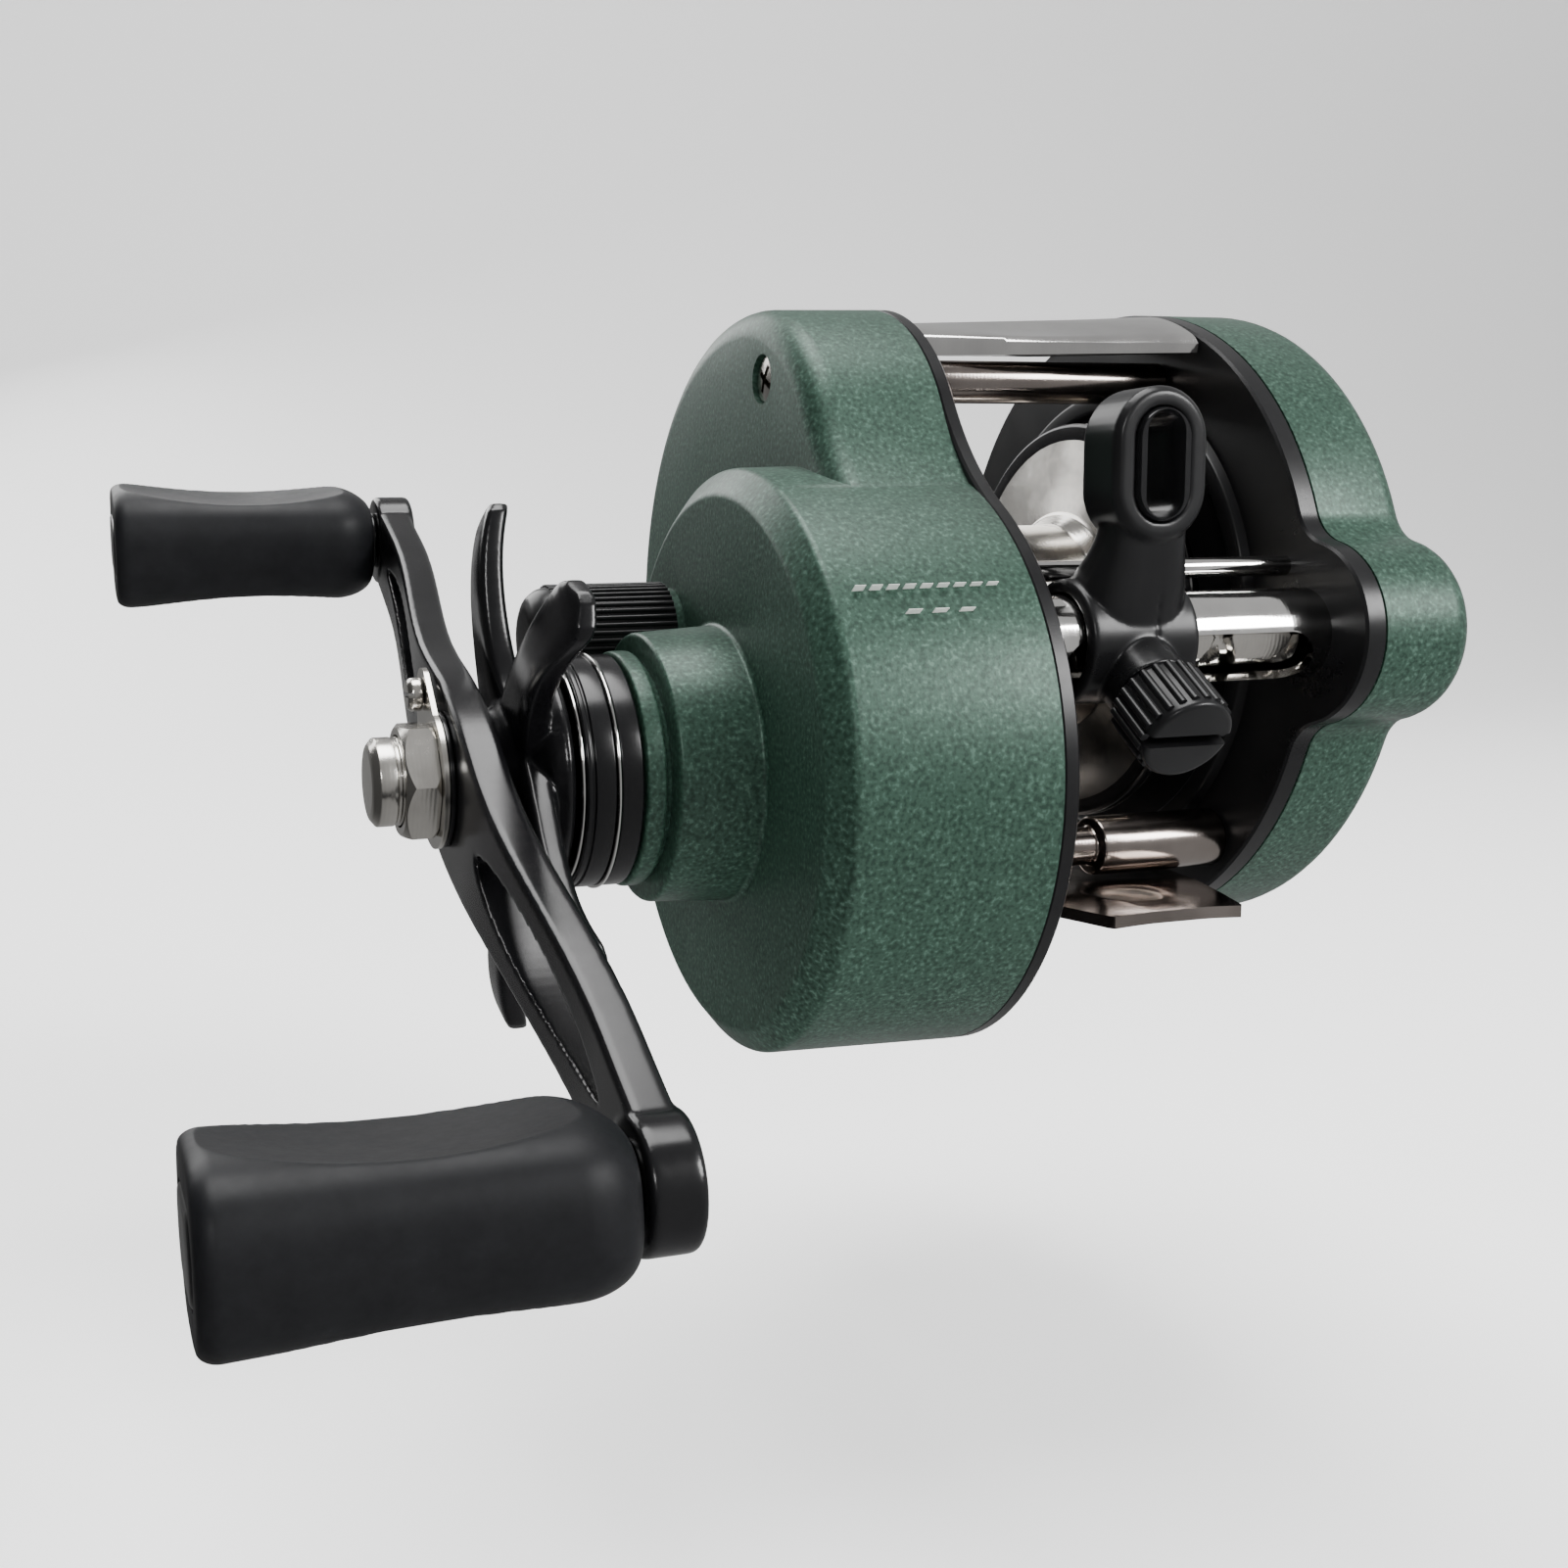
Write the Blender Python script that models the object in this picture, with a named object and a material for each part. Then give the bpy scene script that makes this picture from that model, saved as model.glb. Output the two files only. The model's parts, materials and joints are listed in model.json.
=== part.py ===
"""Round baitcasting reel, right-hand retrieve.

Lengths are millimetres here and the mesh helpers turn them into metres.
X runs along the spool axis with the handle at -X, -Y is the line-guide side
and Z is up. Places across the reel are (y, z) measured from the spool axis,
which stands AXIS_HEIGHT above the rod seat face of the foot.
"""
import math

import bmesh
import bpy
from mathutils import Matrix, Vector

MM = 0.001
BOOLEAN_SCALE = 500.0

# ---- frame -------------------------------------------------------------
AXIS_HEIGHT = 21.9          # spool axis above the rod seat face
PLATE_GAP = 24.8            # clear width between the two side plates
PLATE_FLANGE = 1.3          # handle plate thickness outside the cover
PALM_FLANGE = 1.9           # palm plate thickness outside the cover
PLATE_LEDGE = 1.3           # step of the plate that locates the cover
COVER_FIT = 0.15            # cover wall to plate ledge
WALL = 1.3                  # cover wall
ROUND_RADIUS = 27.8         # both sides, around the spool axis

# ---- gear train --------------------------------------------------------
MODULE = 0.4
DRIVE_TEETH = 63
PINION_TEETH = 10
CENTRE = MODULE * (DRIVE_TEETH + PINION_TEETH) / 2
DRIVE_ANGLE = 223.2         # degrees, drive axis seen from the spool axis
AUX_TEETH = 30
IDLER_TEETH = 28
WORM_TEETH = 12
TOOTH_SHARE = 0.30          # tooth thickness as a share of the pitch
ADDENDUM = 0.5              # in modules, short so that the train runs free
DEDENDUM = 0.95

# ---- handle side -------------------------------------------------------
HOUSING_RADIUS = 24.3       # around the drive axis, at the plate
HOUSING_DRAFT = 0.4         # radius lost up to the front chamfer
HOUSING_FACE = -31.3
HOUSING_CHAMFER = (1.6, 2.0)
LOBE_FACE = -25.0
LOBE_ROUND = 2.4
LOBE_CORNER = 17.0          # radius of the front corner of the upper lobe
LOBE_CORNER_ANGLE = 94.6
LOBE_STEP = -0.9            # lobe outline inside the gear housing's
WAIST_RADIUS = 25.0         # hollow between the lobe and the gear housing
BOSS_RADIUS = 11.3
BOSS_FACE = -38.1
STAGE_RADIUS = 9.5
STAGE_FACE = -40.2
GROOVE = (0.5, 0.7)         # width, depth between boss and stage
SCREW_HEAD = 1.9
SCREW_THREAD = 0.9

# ---- palm side ---------------------------------------------------------
PALM_FACE = 20.8
PALM_EDGE = 2.7             # rounding of the palm cover's edge
PALM_CROWN = 24.8
BUMP_RADIUS = 7.4
BUMP_WAIST = 3.8

# ---- level wind --------------------------------------------------------
WORM_AXIS = (-26.9, 0.0)
TUBE_RADIUS = 3.6
TUBE_WALL = 0.7
SLOT_WIDTH = 4.6
SLOT_END = 1.3              # slot end to side plate
SLOT_ANGLE = 214.0
WORM_RADIUS = 2.3
WORM_END_RADIUS = 1.2
ROD_AXIS = (-24.7, 5.3)
ROD_RADIUS = 0.8
GUIDE_X = -4.9
EYE_WIDTH = 2.7
EYE_HEIGHT = 7.3
EYE_RIM = (5.1, 4.0)        # guide eye body, wider and higher than its hole
INSERT_RIM = (1.7, 0.9)     # the same for the hard insert
COLLAR_WIDTH = 9.2
COLLAR_RADIUS = 4.8
EYE_FACE = -33.0
EYE_DEPTH = 4.7
EYE_Z = 13.0
PAWL_RADIUS = 1.4
PAWL_CAP_RADIUS = 3.65
PAWL_CAP_LENGTH = 5.2
PAWL_CAP_START = COLLAR_RADIUS + 2.1

# ---- spool -------------------------------------------------------------
FLANGE_RADIUS = 18.1
FLANGE_THICK = 1.2
SPOOL_LEFT = -10.0
SPOOL_RIGHT = 9.0
ARBOR_RADIUS = 9.0
SHAFT_RADIUS = 1.5
SHAFT_THIN = 0.8
BEARING_RADIUS = 4.2
BEARING_WIDE = 2.2
DRUM_RADIUS = 12.7
BRAKE_OPENING = 14.2
TENSION_RADIUS = 4.7
TENSION_THREAD = 3.0
TENSION_SEAT = -34.5        # front of the lug that the cap screws into
TENSION_END = -44.6

# ---- handle ------------------------------------------------------------
HANDLE_THROW = 44.6         # drive axis to knob axis
HANDLE_ANGLE = 24.9
ARM_THICK = 3.0
ARM_CENTRE_X = -51.1        # inner face in the middle
ARM_END_X = -49.0           # inner face at the knobs
HUB_RADIUS = 4.25
HUB_THICK = 3.1
STUD_RADIUS = 1.6
KNOB_GAP = 0.8              # hub to knob
KNOB_LENGTH = 24.3
KNOB_WIDTH = 16.6
KNOB_DEPTH = 11.3
KNOB_CAP = (6.1, 2.75)      # half length and end radius of the end cap
RING_RADIUS = 9.3
DRIVE_SHAFT_RADIUS = 3.8
DRIVE_CORE_RADIUS = 2.0     # the same shaft inside the gears
DRIVE_BEARING_RADIUS = 4.6
ONE_WAY_RADIUS = 5.9
SHAFT_TIP = -60.1
STAR_RADIUS = 22.8
STAR_ARMS = 5
STAR_PHASE = 141.0
NUT_CORNER = 4.95
RETAINER_REACH = 7.0        # drive axis to retainer screw
RETAINER_ANGLE = 68.0

# ---- pillars and foot --------------------------------------------------
PILLAR_RADIUS = 2.5
LOW_FRONT = (-16.5, -18.1)
LOW_REAR = (16.5, -18.1)
TOP_PILLAR = (-7.0, 21.2)
TOP_PILLAR_RADIUS = 1.8
FOOT_THICK = 0.95
FOOT_ARCH = 0.15
FOOT_END = 6.0
FOOT_MIDDLE = 9.5
FOOT_FRONT = -29.6
FOOT_REAR = 28.0
FOOT_STRIP = 2.2

CLEAR = 0.15                # pieces that are fastened together
RUN = 0.25                  # pieces that turn or slide
SEGMENTS = 20

INNER = PLATE_GAP / 2
DRIVE = (CENTRE * math.cos(math.radians(DRIVE_ANGLE)),
         CENTRE * math.sin(math.radians(DRIVE_ANGLE)))
HANDLE_DIR = (math.cos(math.radians(HANDLE_ANGLE)),
              math.sin(math.radians(HANDLE_ANGLE)))
KNOB_UP = (DRIVE[0] + HANDLE_THROW * HANDLE_DIR[0],
           DRIVE[1] + HANDLE_THROW * HANDLE_DIR[1])
KNOB_LOW = (DRIVE[0] - HANDLE_THROW * HANDLE_DIR[0],
            DRIVE[1] - HANDLE_THROW * HANDLE_DIR[1])
SLOT_DIR = (math.cos(math.radians(SLOT_ANGLE)),
            math.sin(math.radians(SLOT_ANGLE)))


# ---- materials ---------------------------------------------------------
def material(name, colour, metallic, roughness):
    mat = bpy.data.materials.get(name)
    if mat is None:
        mat = bpy.data.materials.new(name)
        mat.use_nodes = True
        node = mat.node_tree.nodes["Principled BSDF"]
        node.inputs["Base Color"].default_value = (*colour, 1)
        node.inputs["Metallic"].default_value = metallic
        node.inputs["Roughness"].default_value = roughness
        mat.diffuse_color = (*colour, 1)
    return mat


def paint():
    return material("green_paint", (0.10, 0.19, 0.14), 0.4, 0.45)


def plastic():
    return material("black_plastic", (0.02, 0.02, 0.022), 0.0, 0.35)


def rubber():
    return material("soft_rubber", (0.03, 0.03, 0.035), 0.0, 0.7)


def anodised():
    return material("black_anodised", (0.02, 0.02, 0.02), 0.6, 0.25)


def chrome():
    return material("chrome", (0.75, 0.75, 0.74), 1.0, 0.1)


def steel():
    return material("steel", (0.6, 0.6, 0.58), 1.0, 0.25)


def gunmetal():
    return material("gunmetal", (0.32, 0.28, 0.26), 1.0, 0.2)


def brass():
    return material("brass", (0.6, 0.44, 0.18), 1.0, 0.3)


def fibre():
    return material("fibre", (0.12, 0.11, 0.1), 0.0, 0.8)


def nylon():
    return material("nylon", (0.75, 0.73, 0.68), 0.0, 0.5)


# ---- mesh helpers ------------------------------------------------------
def point(x, y, z):
    """World point in metres of (x, y, z) taken from the spool axis."""
    return Vector((x, y, z + AXIS_HEIGHT)) * MM


def make(name, verts, faces, mat=None, smooth=40):
    mesh = bpy.data.meshes.new(name)
    mesh.from_pydata([point(*v) for v in verts], [], faces)
    tidy = bmesh.new()
    tidy.from_mesh(mesh)
    bmesh.ops.remove_doubles(tidy, verts=tidy.verts, dist=1e-7)
    bmesh.ops.recalc_face_normals(tidy, faces=tidy.faces)
    tidy.to_mesh(mesh)
    tidy.free()
    obj = bpy.data.objects.new(name, mesh)
    bpy.context.scene.collection.objects.link(obj)
    if mat:
        mesh.materials.append(mat)
    shade(obj, smooth)
    return obj


def shade(obj, degrees):
    if degrees:
        obj.data.shade_smooth()
        obj.data.set_sharp_from_angle(angle=math.radians(degrees))


def loft(name, sections, mat=None, smooth=40):
    """Closed solid through sections of equal point count, capped at both ends."""
    count = len(sections[0])
    verts = [v for section in sections for v in section]
    faces = [list(range(count))[::-1],
             list(range(len(verts) - count, len(verts)))]
    for row in range(len(sections) - 1):
        for i in range(count):
            j = (i + 1) % count
            faces.append([row * count + i, row * count + j,
                          (row + 1) * count + j, (row + 1) * count + i])
    return make(name, verts, faces, mat, smooth)


def prism(name, outline, x0, x1, mat=None, smooth=40):
    return loft(name, [[(x0, y, z) for y, z in outline],
                       [(x1, y, z) for y, z in outline]], mat, smooth)


def lathe(name, profile, axis, mat=None, segments=SEGMENTS, smooth=40,
          phase=0.0):
    """Revolve a closed (x, r) profile around the X line through axis."""
    verts, rings, faces = [], [], []
    for x, r in profile:
        if r < 1e-6:
            rings.append([len(verts)] * segments)
            verts.append((x, *axis))
        else:
            rings.append(list(range(len(verts), len(verts) + segments)))
            for k in range(segments):
                a = 2 * math.pi * k / segments + phase
                verts.append((x, axis[0] + r * math.cos(a),
                              axis[1] + r * math.sin(a)))
    for i in range(len(profile)):
        a, b = rings[i], rings[(i + 1) % len(profile)]
        if a[0] == a[1] and b[0] == b[1]:
            continue
        for k in range(segments):
            m = (k + 1) % segments
            face = []
            for v in (a[k], a[m], b[m], b[k]):
                if v not in face:
                    face.append(v)
            faces.append(face)
    return make(name, verts, faces, mat, smooth)


def cylinder(name, x0, x1, radius, axis, mat=None, segments=SEGMENTS,
             edge=0.0):
    profile = [(x0, 0), (x0, radius - edge)]
    if edge:
        profile += [(x0 + edge, radius), (x1 - edge, radius)]
    else:
        profile += [(x0, radius), (x1, radius)]
        profile.pop(1)
    profile += [(x1, radius - edge), (x1, 0)] if edge else [(x1, 0)]
    return lathe(name, profile, axis, mat, segments)


def ring(name, x0, x1, outer, inner, axis, mat=None, segments=SEGMENTS,
         edge=0.0):
    profile = [(x0, inner), (x0, outer - edge)]
    if edge:
        profile += [(x0 + edge, outer), (x1 - edge, outer)]
        profile += [(x1, outer - edge), (x1, inner)]
    else:
        profile = [(x0, inner), (x0, outer), (x1, outer), (x1, inner)]
    return lathe(name, profile, axis, mat, segments)


def block(name, x, y, z, mat=None):
    """Box from three (low, high) pairs."""
    outline = [(y[0], z[0]), (y[1], z[0]), (y[1], z[1]), (y[0], z[1])]
    return prism(name, outline, x[0], x[1], mat, smooth=0)


def spun(name, profile, base, direction, mat=None, segments=SEGMENTS,
         scallops=None):
    """Revolve (distance, r) around a line in the YZ plane, through base."""
    verts, faces, rings = [], [], []
    dy, dz = direction
    for t, r in profile:
        if r < 1e-6:
            rings.append([len(verts)] * segments)
            verts.append((base[0], base[1] + t * dy, base[2] + t * dz))
            continue
        rings.append(list(range(len(verts), len(verts) + segments)))
        for k in range(segments):
            a = 2 * math.pi * k / segments
            grip = scallops if scallops and k % 2 else 0.0
            u, v = (r - grip) * math.cos(a), (r - grip) * math.sin(a)
            verts.append((base[0] + u, base[1] + t * dy - v * dz,
                          base[2] + t * dz + v * dy))
    for i in range(len(profile)):
        a, b = rings[i], rings[(i + 1) % len(profile)]
        if a[0] == a[1] and b[0] == b[1]:
            continue
        for k in range(segments):
            m = (k + 1) % segments
            face = []
            for v in (a[k], a[m], b[m], b[k]):
                if v not in face:
                    face.append(v)
            faces.append(face)
    return make(name, verts, faces, mat)


def boolean(obj, tools, operation="DIFFERENCE"):
    """Apply each tool to obj, worked large so that small facets survive."""
    obj.data.transform(Matrix.Scale(BOOLEAN_SCALE, 4))
    for tool in tools:
        tool.data.transform(Matrix.Scale(BOOLEAN_SCALE, 4))
        modifier = obj.modifiers.new(operation.lower(), "BOOLEAN")
        modifier.operation = operation
        modifier.object = tool
        modifier.solver = "MANIFOLD"
        bpy.context.view_layer.update()
        graph = bpy.context.evaluated_depsgraph_get()
        mesh = bpy.data.meshes.new_from_object(obj.evaluated_get(graph))
        obj.modifiers.clear()
        old = obj.data
        obj.data = mesh
        bpy.data.meshes.remove(old)
        bpy.data.objects.remove(tool)
    weld = bmesh.new()
    weld.from_mesh(obj.data)
    bmesh.ops.remove_doubles(weld, verts=weld.verts,
                             dist=1e-6 * BOOLEAN_SCALE)
    bmesh.ops.scale(weld, vec=(1 / BOOLEAN_SCALE,) * 3, verts=weld.verts)
    weld.to_mesh(obj.data)
    weld.free()
    shade(obj, 40)
    obj.data.name = obj.name
    return obj


def join(obj, tools):
    return boolean(obj, tools, "UNION")


def set_origin(obj, x, y, z):
    """Move the object's origin without moving its mesh."""
    place = point(x, y, z)
    obj.data.transform(Matrix.Translation(-place))
    obj.location = place
    return obj


# ---- outlines in (y, z) ------------------------------------------------
def arc(centre, radius, start, end, steps):
    return [(centre[0] + radius * math.cos(math.radians(a)),
             centre[1] + radius * math.sin(math.radians(a)))
            for a in (start + (end - start) * i / steps
                      for i in range(steps + 1))]


def heading(a, b):
    return math.degrees(math.atan2(b[1] - a[1], b[0] - a[0])) % 360


def hollow(c1, r1, c2, r2, fillet, side):
    """Centre of a fillet circle that touches two circles from outside."""
    d = math.dist(c1, c2)
    a, b = r1 + fillet, r2 + fillet
    along = (a * a - b * b + d * d) / (2 * d)
    off = math.sqrt(max(a * a - along * along, 0)) * side
    ux, uy = (c2[0] - c1[0]) / d, (c2[1] - c1[1]) / d
    return (c1[0] + ux * along - uy * off, c1[1] + uy * along + ux * off)


def handle_outline(grow=0.0, housing=0.0):
    """Lobe round the spool axis, hollow waist, circle round the drive axis."""
    ca = math.radians(LOBE_CORNER_ANGLE)
    inset = ROUND_RADIUS - LOBE_CORNER
    lobe = (inset * math.cos(ca), inset * math.sin(ca))
    gear = HOUSING_RADIUS + grow + housing
    top = LOBE_CORNER + grow
    waist = WAIST_RADIUS - grow
    hub = hollow(lobe, top, DRIVE, gear, waist, -1)
    # outer tangent at the rear, from the housing to the lobe circle
    reach = ROUND_RADIUS + grow
    line = heading(DRIVE, (0, 0))
    tilt = math.degrees(math.acos((gear - reach) / CENTRE))
    rear = line - tilt
    points = arc((0, 0), reach, rear, LOBE_CORNER_ANGLE, 15)
    points += arc(lobe, top, LOBE_CORNER_ANGLE, heading(lobe, hub), 6)[1:]
    a0, a1 = heading(hub, lobe), heading(hub, DRIVE)
    points += arc(hub, waist, a0 if a0 < a1 + 180 else a0 - 360, a1, 5)[1:-1]
    points += arc(DRIVE, gear, heading(DRIVE, hub), rear + 360, 20)
    return points


def palm_outline(grow=0.0):
    """Circle round the spool axis with a bump round the worm axis."""
    big, bump = ROUND_RADIUS + grow, BUMP_RADIUS + grow
    waist = BUMP_WAIST - grow
    up = hollow((0, 0), big, WORM_AXIS, bump, waist, -1)
    low = hollow((0, 0), big, WORM_AXIS, bump, waist, 1)
    a_up, a_low = heading((0, 0), up), heading((0, 0), low)
    points = arc((0, 0), big, a_low - 360, a_up, 22)
    points += arc(up, waist, heading(up, (0, 0)) - 360
                  if heading(up, (0, 0)) > heading(up, WORM_AXIS) + 180
                  else heading(up, (0, 0)), heading(up, WORM_AXIS), 4)[1:-1]
    points += arc(WORM_AXIS, bump, heading(WORM_AXIS, up),
                  heading(WORM_AXIS, low), 10)
    start, end = heading(low, WORM_AXIS), heading(low, (0, 0))
    points += arc(low, waist, start, end, 4)[1:-1]
    return points


def stadium(cx, cz, width, height, steps=8):
    """Upright round-ended slot outline in (x, z)."""
    r = width / 2
    half = height / 2 - r
    top = [(cx + r * math.cos(math.pi * i / steps),
            cz + half + r * math.sin(math.pi * i / steps))
           for i in range(steps + 1)]
    low = [(cx + r * math.cos(math.pi + math.pi * i / steps),
            cz - half + r * math.sin(math.pi + math.pi * i / steps))
           for i in range(steps + 1)]
    return top + low


def gear_outline(teeth, axis, phase):
    """Short straight-flanked teeth on a pitch circle, phase in degrees."""
    pitch = MODULE * teeth / 2
    tip, root = pitch + ADDENDUM * MODULE, pitch - DEDENDUM * MODULE
    step = 360 / teeth
    wide, narrow = TOOTH_SHARE * step * 1.35 / 2, TOOTH_SHARE * step * 0.75 / 2
    points = []
    for k in range(teeth):
        a = phase + k * step
        for r, offset in ((root, -wide), (tip, -narrow), (tip, narrow),
                          (root, wide)):
            t = math.radians(a + offset)
            points.append((axis[0] + r * math.cos(t),
                           axis[1] + r * math.sin(t)))
    return points


def meshed_phase(first, first_axis, first_phase, second, second_axis):
    """Phase that puts a gap of the second gear on a tooth of the first."""
    toward = heading(first_axis, second_axis)
    slip = (toward - first_phase) % (360 / first)
    return toward + 180 + slip * first / second + 180 / second


def bored_gear(name, teeth, axis, phase, x0, x1, bore, mat):
    body = prism(name, gear_outline(teeth, axis, phase), x0, x1, mat, 0)
    return boolean(body, [cylinder("bore", x0 - 1, x1 + 1, bore, axis)])


# ---- sides -------------------------------------------------------------
LEDGE_INSET = WALL + COVER_FIT
PLATE_OUT = -INNER - PLATE_FLANGE
LEDGE_OUT = PLATE_OUT - PLATE_LEDGE
COVER_SCREWS = {"top": (-5.8, 21.4), "rear": (21.2, -3.0),
                "low": (16.8, -15.3)}
PALM_SCREWS = {"front": (-12.0, -17.0), "rear": (17.0, 14.6)}
POST_RADIUS = SCREW_HEAD + CLEAR + 0.65
POST_LENGTH = 4.0           # plate posts that take the cover screws
PALM_POST_LENGTH = 3.2
THUMB_WINDOW = ((15.8, 22.4), (1.7, 10.5))
IDLER_DISTANCE = MODULE * (AUX_TEETH + IDLER_TEETH) / 2
LUG_END = HOUSING_FACE + WALL + 4.5   # inner end of the tension cap's lug


def idler_axis():
    reach = MODULE * (IDLER_TEETH + WORM_TEETH) / 2
    d = math.dist(DRIVE, WORM_AXIS)
    along = (IDLER_DISTANCE ** 2 - reach ** 2 + d * d) / (2 * d)
    off = math.sqrt(max(IDLER_DISTANCE ** 2 - along ** 2, 0))
    ux, uy = (WORM_AXIS[0] - DRIVE[0]) / d, (WORM_AXIS[1] - DRIVE[1]) / d
    return (DRIVE[0] + ux * along - uy * off, DRIVE[1] + uy * along + ux * off)


IDLER = idler_axis()


def handle_side_plate():
    plate = prism("handle_side_plate", handle_outline(), PLATE_OUT, -INNER,
                  plastic())
    ledge = prism("ledge", handle_outline(-LEDGE_INSET, LOBE_STEP),
                  LEDGE_OUT, PLATE_OUT + 0.5)
    posts = [cylinder("post", LEDGE_OUT - POST_LENGTH, LEDGE_OUT + 0.5,
                      POST_RADIUS - 0.4, at, segments=16)
             for at in COVER_SCREWS.values()]
    pin = cylinder("idler_post", LEDGE_OUT - 2.6, LEDGE_OUT + 0.5,
                   WORM_END_RADIUS, IDLER, segments=16)
    join(plate, [ledge, *posts, pin])
    cuts = [
        cylinder("spool_bore", LEDGE_OUT - 1, -INNER + 1,
                 BEARING_RADIUS + CLEAR, (0, 0)),
        cylinder("drive_bore", LEDGE_OUT - 1, -INNER + 1,
                 DRIVE_BEARING_RADIUS + CLEAR, DRIVE),
        cylinder("worm_bore", LEDGE_OUT - 1, -INNER + 1,
                 TUBE_RADIUS - TUBE_WALL - 0.4, WORM_AXIS),
        cylinder("tube_seat", -INNER - 1.2, -INNER + 1,
                 TUBE_RADIUS + CLEAR, WORM_AXIS),
        cylinder("rod_seat", -INNER - 1.2, -INNER + 1, ROD_RADIUS + CLEAR,
                 ROD_AXIS, segments=16),
    ]
    cuts += [cylinder("pilot", LEDGE_OUT - POST_LENGTH - 1, LEDGE_OUT + 1.2,
                      SCREW_THREAD + 0.1, at, segments=16)
             for at in COVER_SCREWS.values()]
    (y0, y1), (z0, z1) = THUMB_WINDOW
    cuts.append(block("window", (LEDGE_OUT - 1, -INNER + 1), (y0, y1),
                      (z0, z1)))
    return boolean(plate, cuts)


def lobed_body(name, grow, front, round_by, back):
    """Lobed prism with a rounded front edge."""
    steps = 2
    sections = [[(back, y, z) for y, z in handle_outline(grow, LOBE_STEP)]]
    draft = HOUSING_DRAFT * 0.45
    for i in range(steps + 1):
        a = math.pi / 2 * i / steps
        x = front + round_by * (1 - math.sin(a))
        inset = draft + round_by * (1 - math.cos(a))
        sections.append([(x, y, z)
                         for y, z in handle_outline(grow - inset,
                                                    LOBE_STEP)])
    return loft(name, sections)


def gear_cover():
    open_x = PLATE_OUT
    bevel_x, bevel_r = HOUSING_CHAMFER
    top = HOUSING_RADIUS - HOUSING_DRAFT
    cover = lathe("gear_cover", [
        (open_x + 0.5, 0), (open_x + 0.5, HOUSING_RADIUS),
        (open_x, HOUSING_RADIUS),
        (HOUSING_FACE + bevel_x + 0.6, top),
        (HOUSING_FACE + bevel_x, top - 0.25),
        (HOUSING_FACE + 0.3, top - bevel_r),
        (HOUSING_FACE, top - bevel_r - 0.6),
        (HOUSING_FACE, BOSS_RADIUS + 0.5), (HOUSING_FACE - 0.4, BOSS_RADIUS),
        (BOSS_FACE + 0.7, BOSS_RADIUS - 0.4),
        (BOSS_FACE, BOSS_RADIUS - 1.1), (BOSS_FACE, STAGE_RADIUS - GROOVE[1]),
        (BOSS_FACE - GROOVE[0], STAGE_RADIUS - GROOVE[1]),
        (BOSS_FACE - GROOVE[0], STAGE_RADIUS),
        (STAGE_FACE + 0.4, STAGE_RADIUS), (STAGE_FACE, STAGE_RADIUS - 0.4),
        (STAGE_FACE, 0)], DRIVE, paint(), segments=32)
    join(cover, [lobed_body("lobe", 0.0, LOBE_FACE, LOBE_ROUND,
                            open_x + 0.8)])
    inner_top = top - WALL
    hollow_gear = lathe("hollow_gear", [
        (open_x + 1.6, 0), (open_x + 1.6, HOUSING_RADIUS - WALL),
        (open_x, HOUSING_RADIUS - WALL),
        (HOUSING_FACE + bevel_x + 1.0, inner_top),
        (HOUSING_FACE + WALL, inner_top - bevel_r),
        (HOUSING_FACE + WALL, 0)], DRIVE, segments=32)
    hollow_lobe = lobed_body("hollow_lobe", -WALL, LOBE_FACE + WALL,
                             LOBE_ROUND - 1, open_x + 2)
    trim = block("trim", (open_x, open_x + 4), (-60, 60), (-60, 60))
    boolean(cover, [join(hollow_gear, [hollow_lobe]), trim])
    # bearing seat in the boss, sleeve for the spool tension cap, screw posts
    posts = [cylinder("post", LOBE_FACE + 0.4, LEDGE_OUT - POST_LENGTH
                      - CLEAR, POST_RADIUS, at, segments=16)
             for at in COVER_SCREWS.values()]
    join(cover, posts)
    lug = cylinder("lug", TENSION_SEAT, LUG_END, TENSION_THREAD + 1.2,
                   (0, 0))
    join(cover, [lug])
    seat = ONE_WAY_RADIUS + CLEAR
    cuts = [
        lathe("boss_bore", [(HOUSING_FACE + WALL + 0.5, 0),
                            (HOUSING_FACE + WALL + 0.5, seat),
                            (BOSS_FACE + 0.4, seat),
                            (BOSS_FACE + 0.4, seat - 0.8),
                            (STAGE_FACE - 1, seat - 0.8),
                            (STAGE_FACE - 1, 0)], DRIVE),
        cylinder("tension_bore", TENSION_SEAT - 1, LUG_END + 1,
                 TENSION_THREAD + CLEAR, (0, 0)),
        # the boss is hollowed where the tension cap turns beside it
        cylinder("cap_relief", BOSS_FACE - 4, TENSION_SEAT,
                 TENSION_RADIUS + RUN, (0, 0), segments=32),
    ]
    for y, z in COVER_SCREWS.values():
        cuts.append(lathe("screw_seat", [
            (HOUSING_FACE - 1, 0), (HOUSING_FACE - 1, SCREW_HEAD + CLEAR),
            (LOBE_FACE + 1.9, SCREW_HEAD + CLEAR),
            (LOBE_FACE + 1.9, SCREW_THREAD + 0.2),
            (LEDGE_OUT, SCREW_THREAD + 0.2), (LEDGE_OUT, 0)], (y, z),
            segments=16))
    return boolean(cover, cuts)


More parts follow.
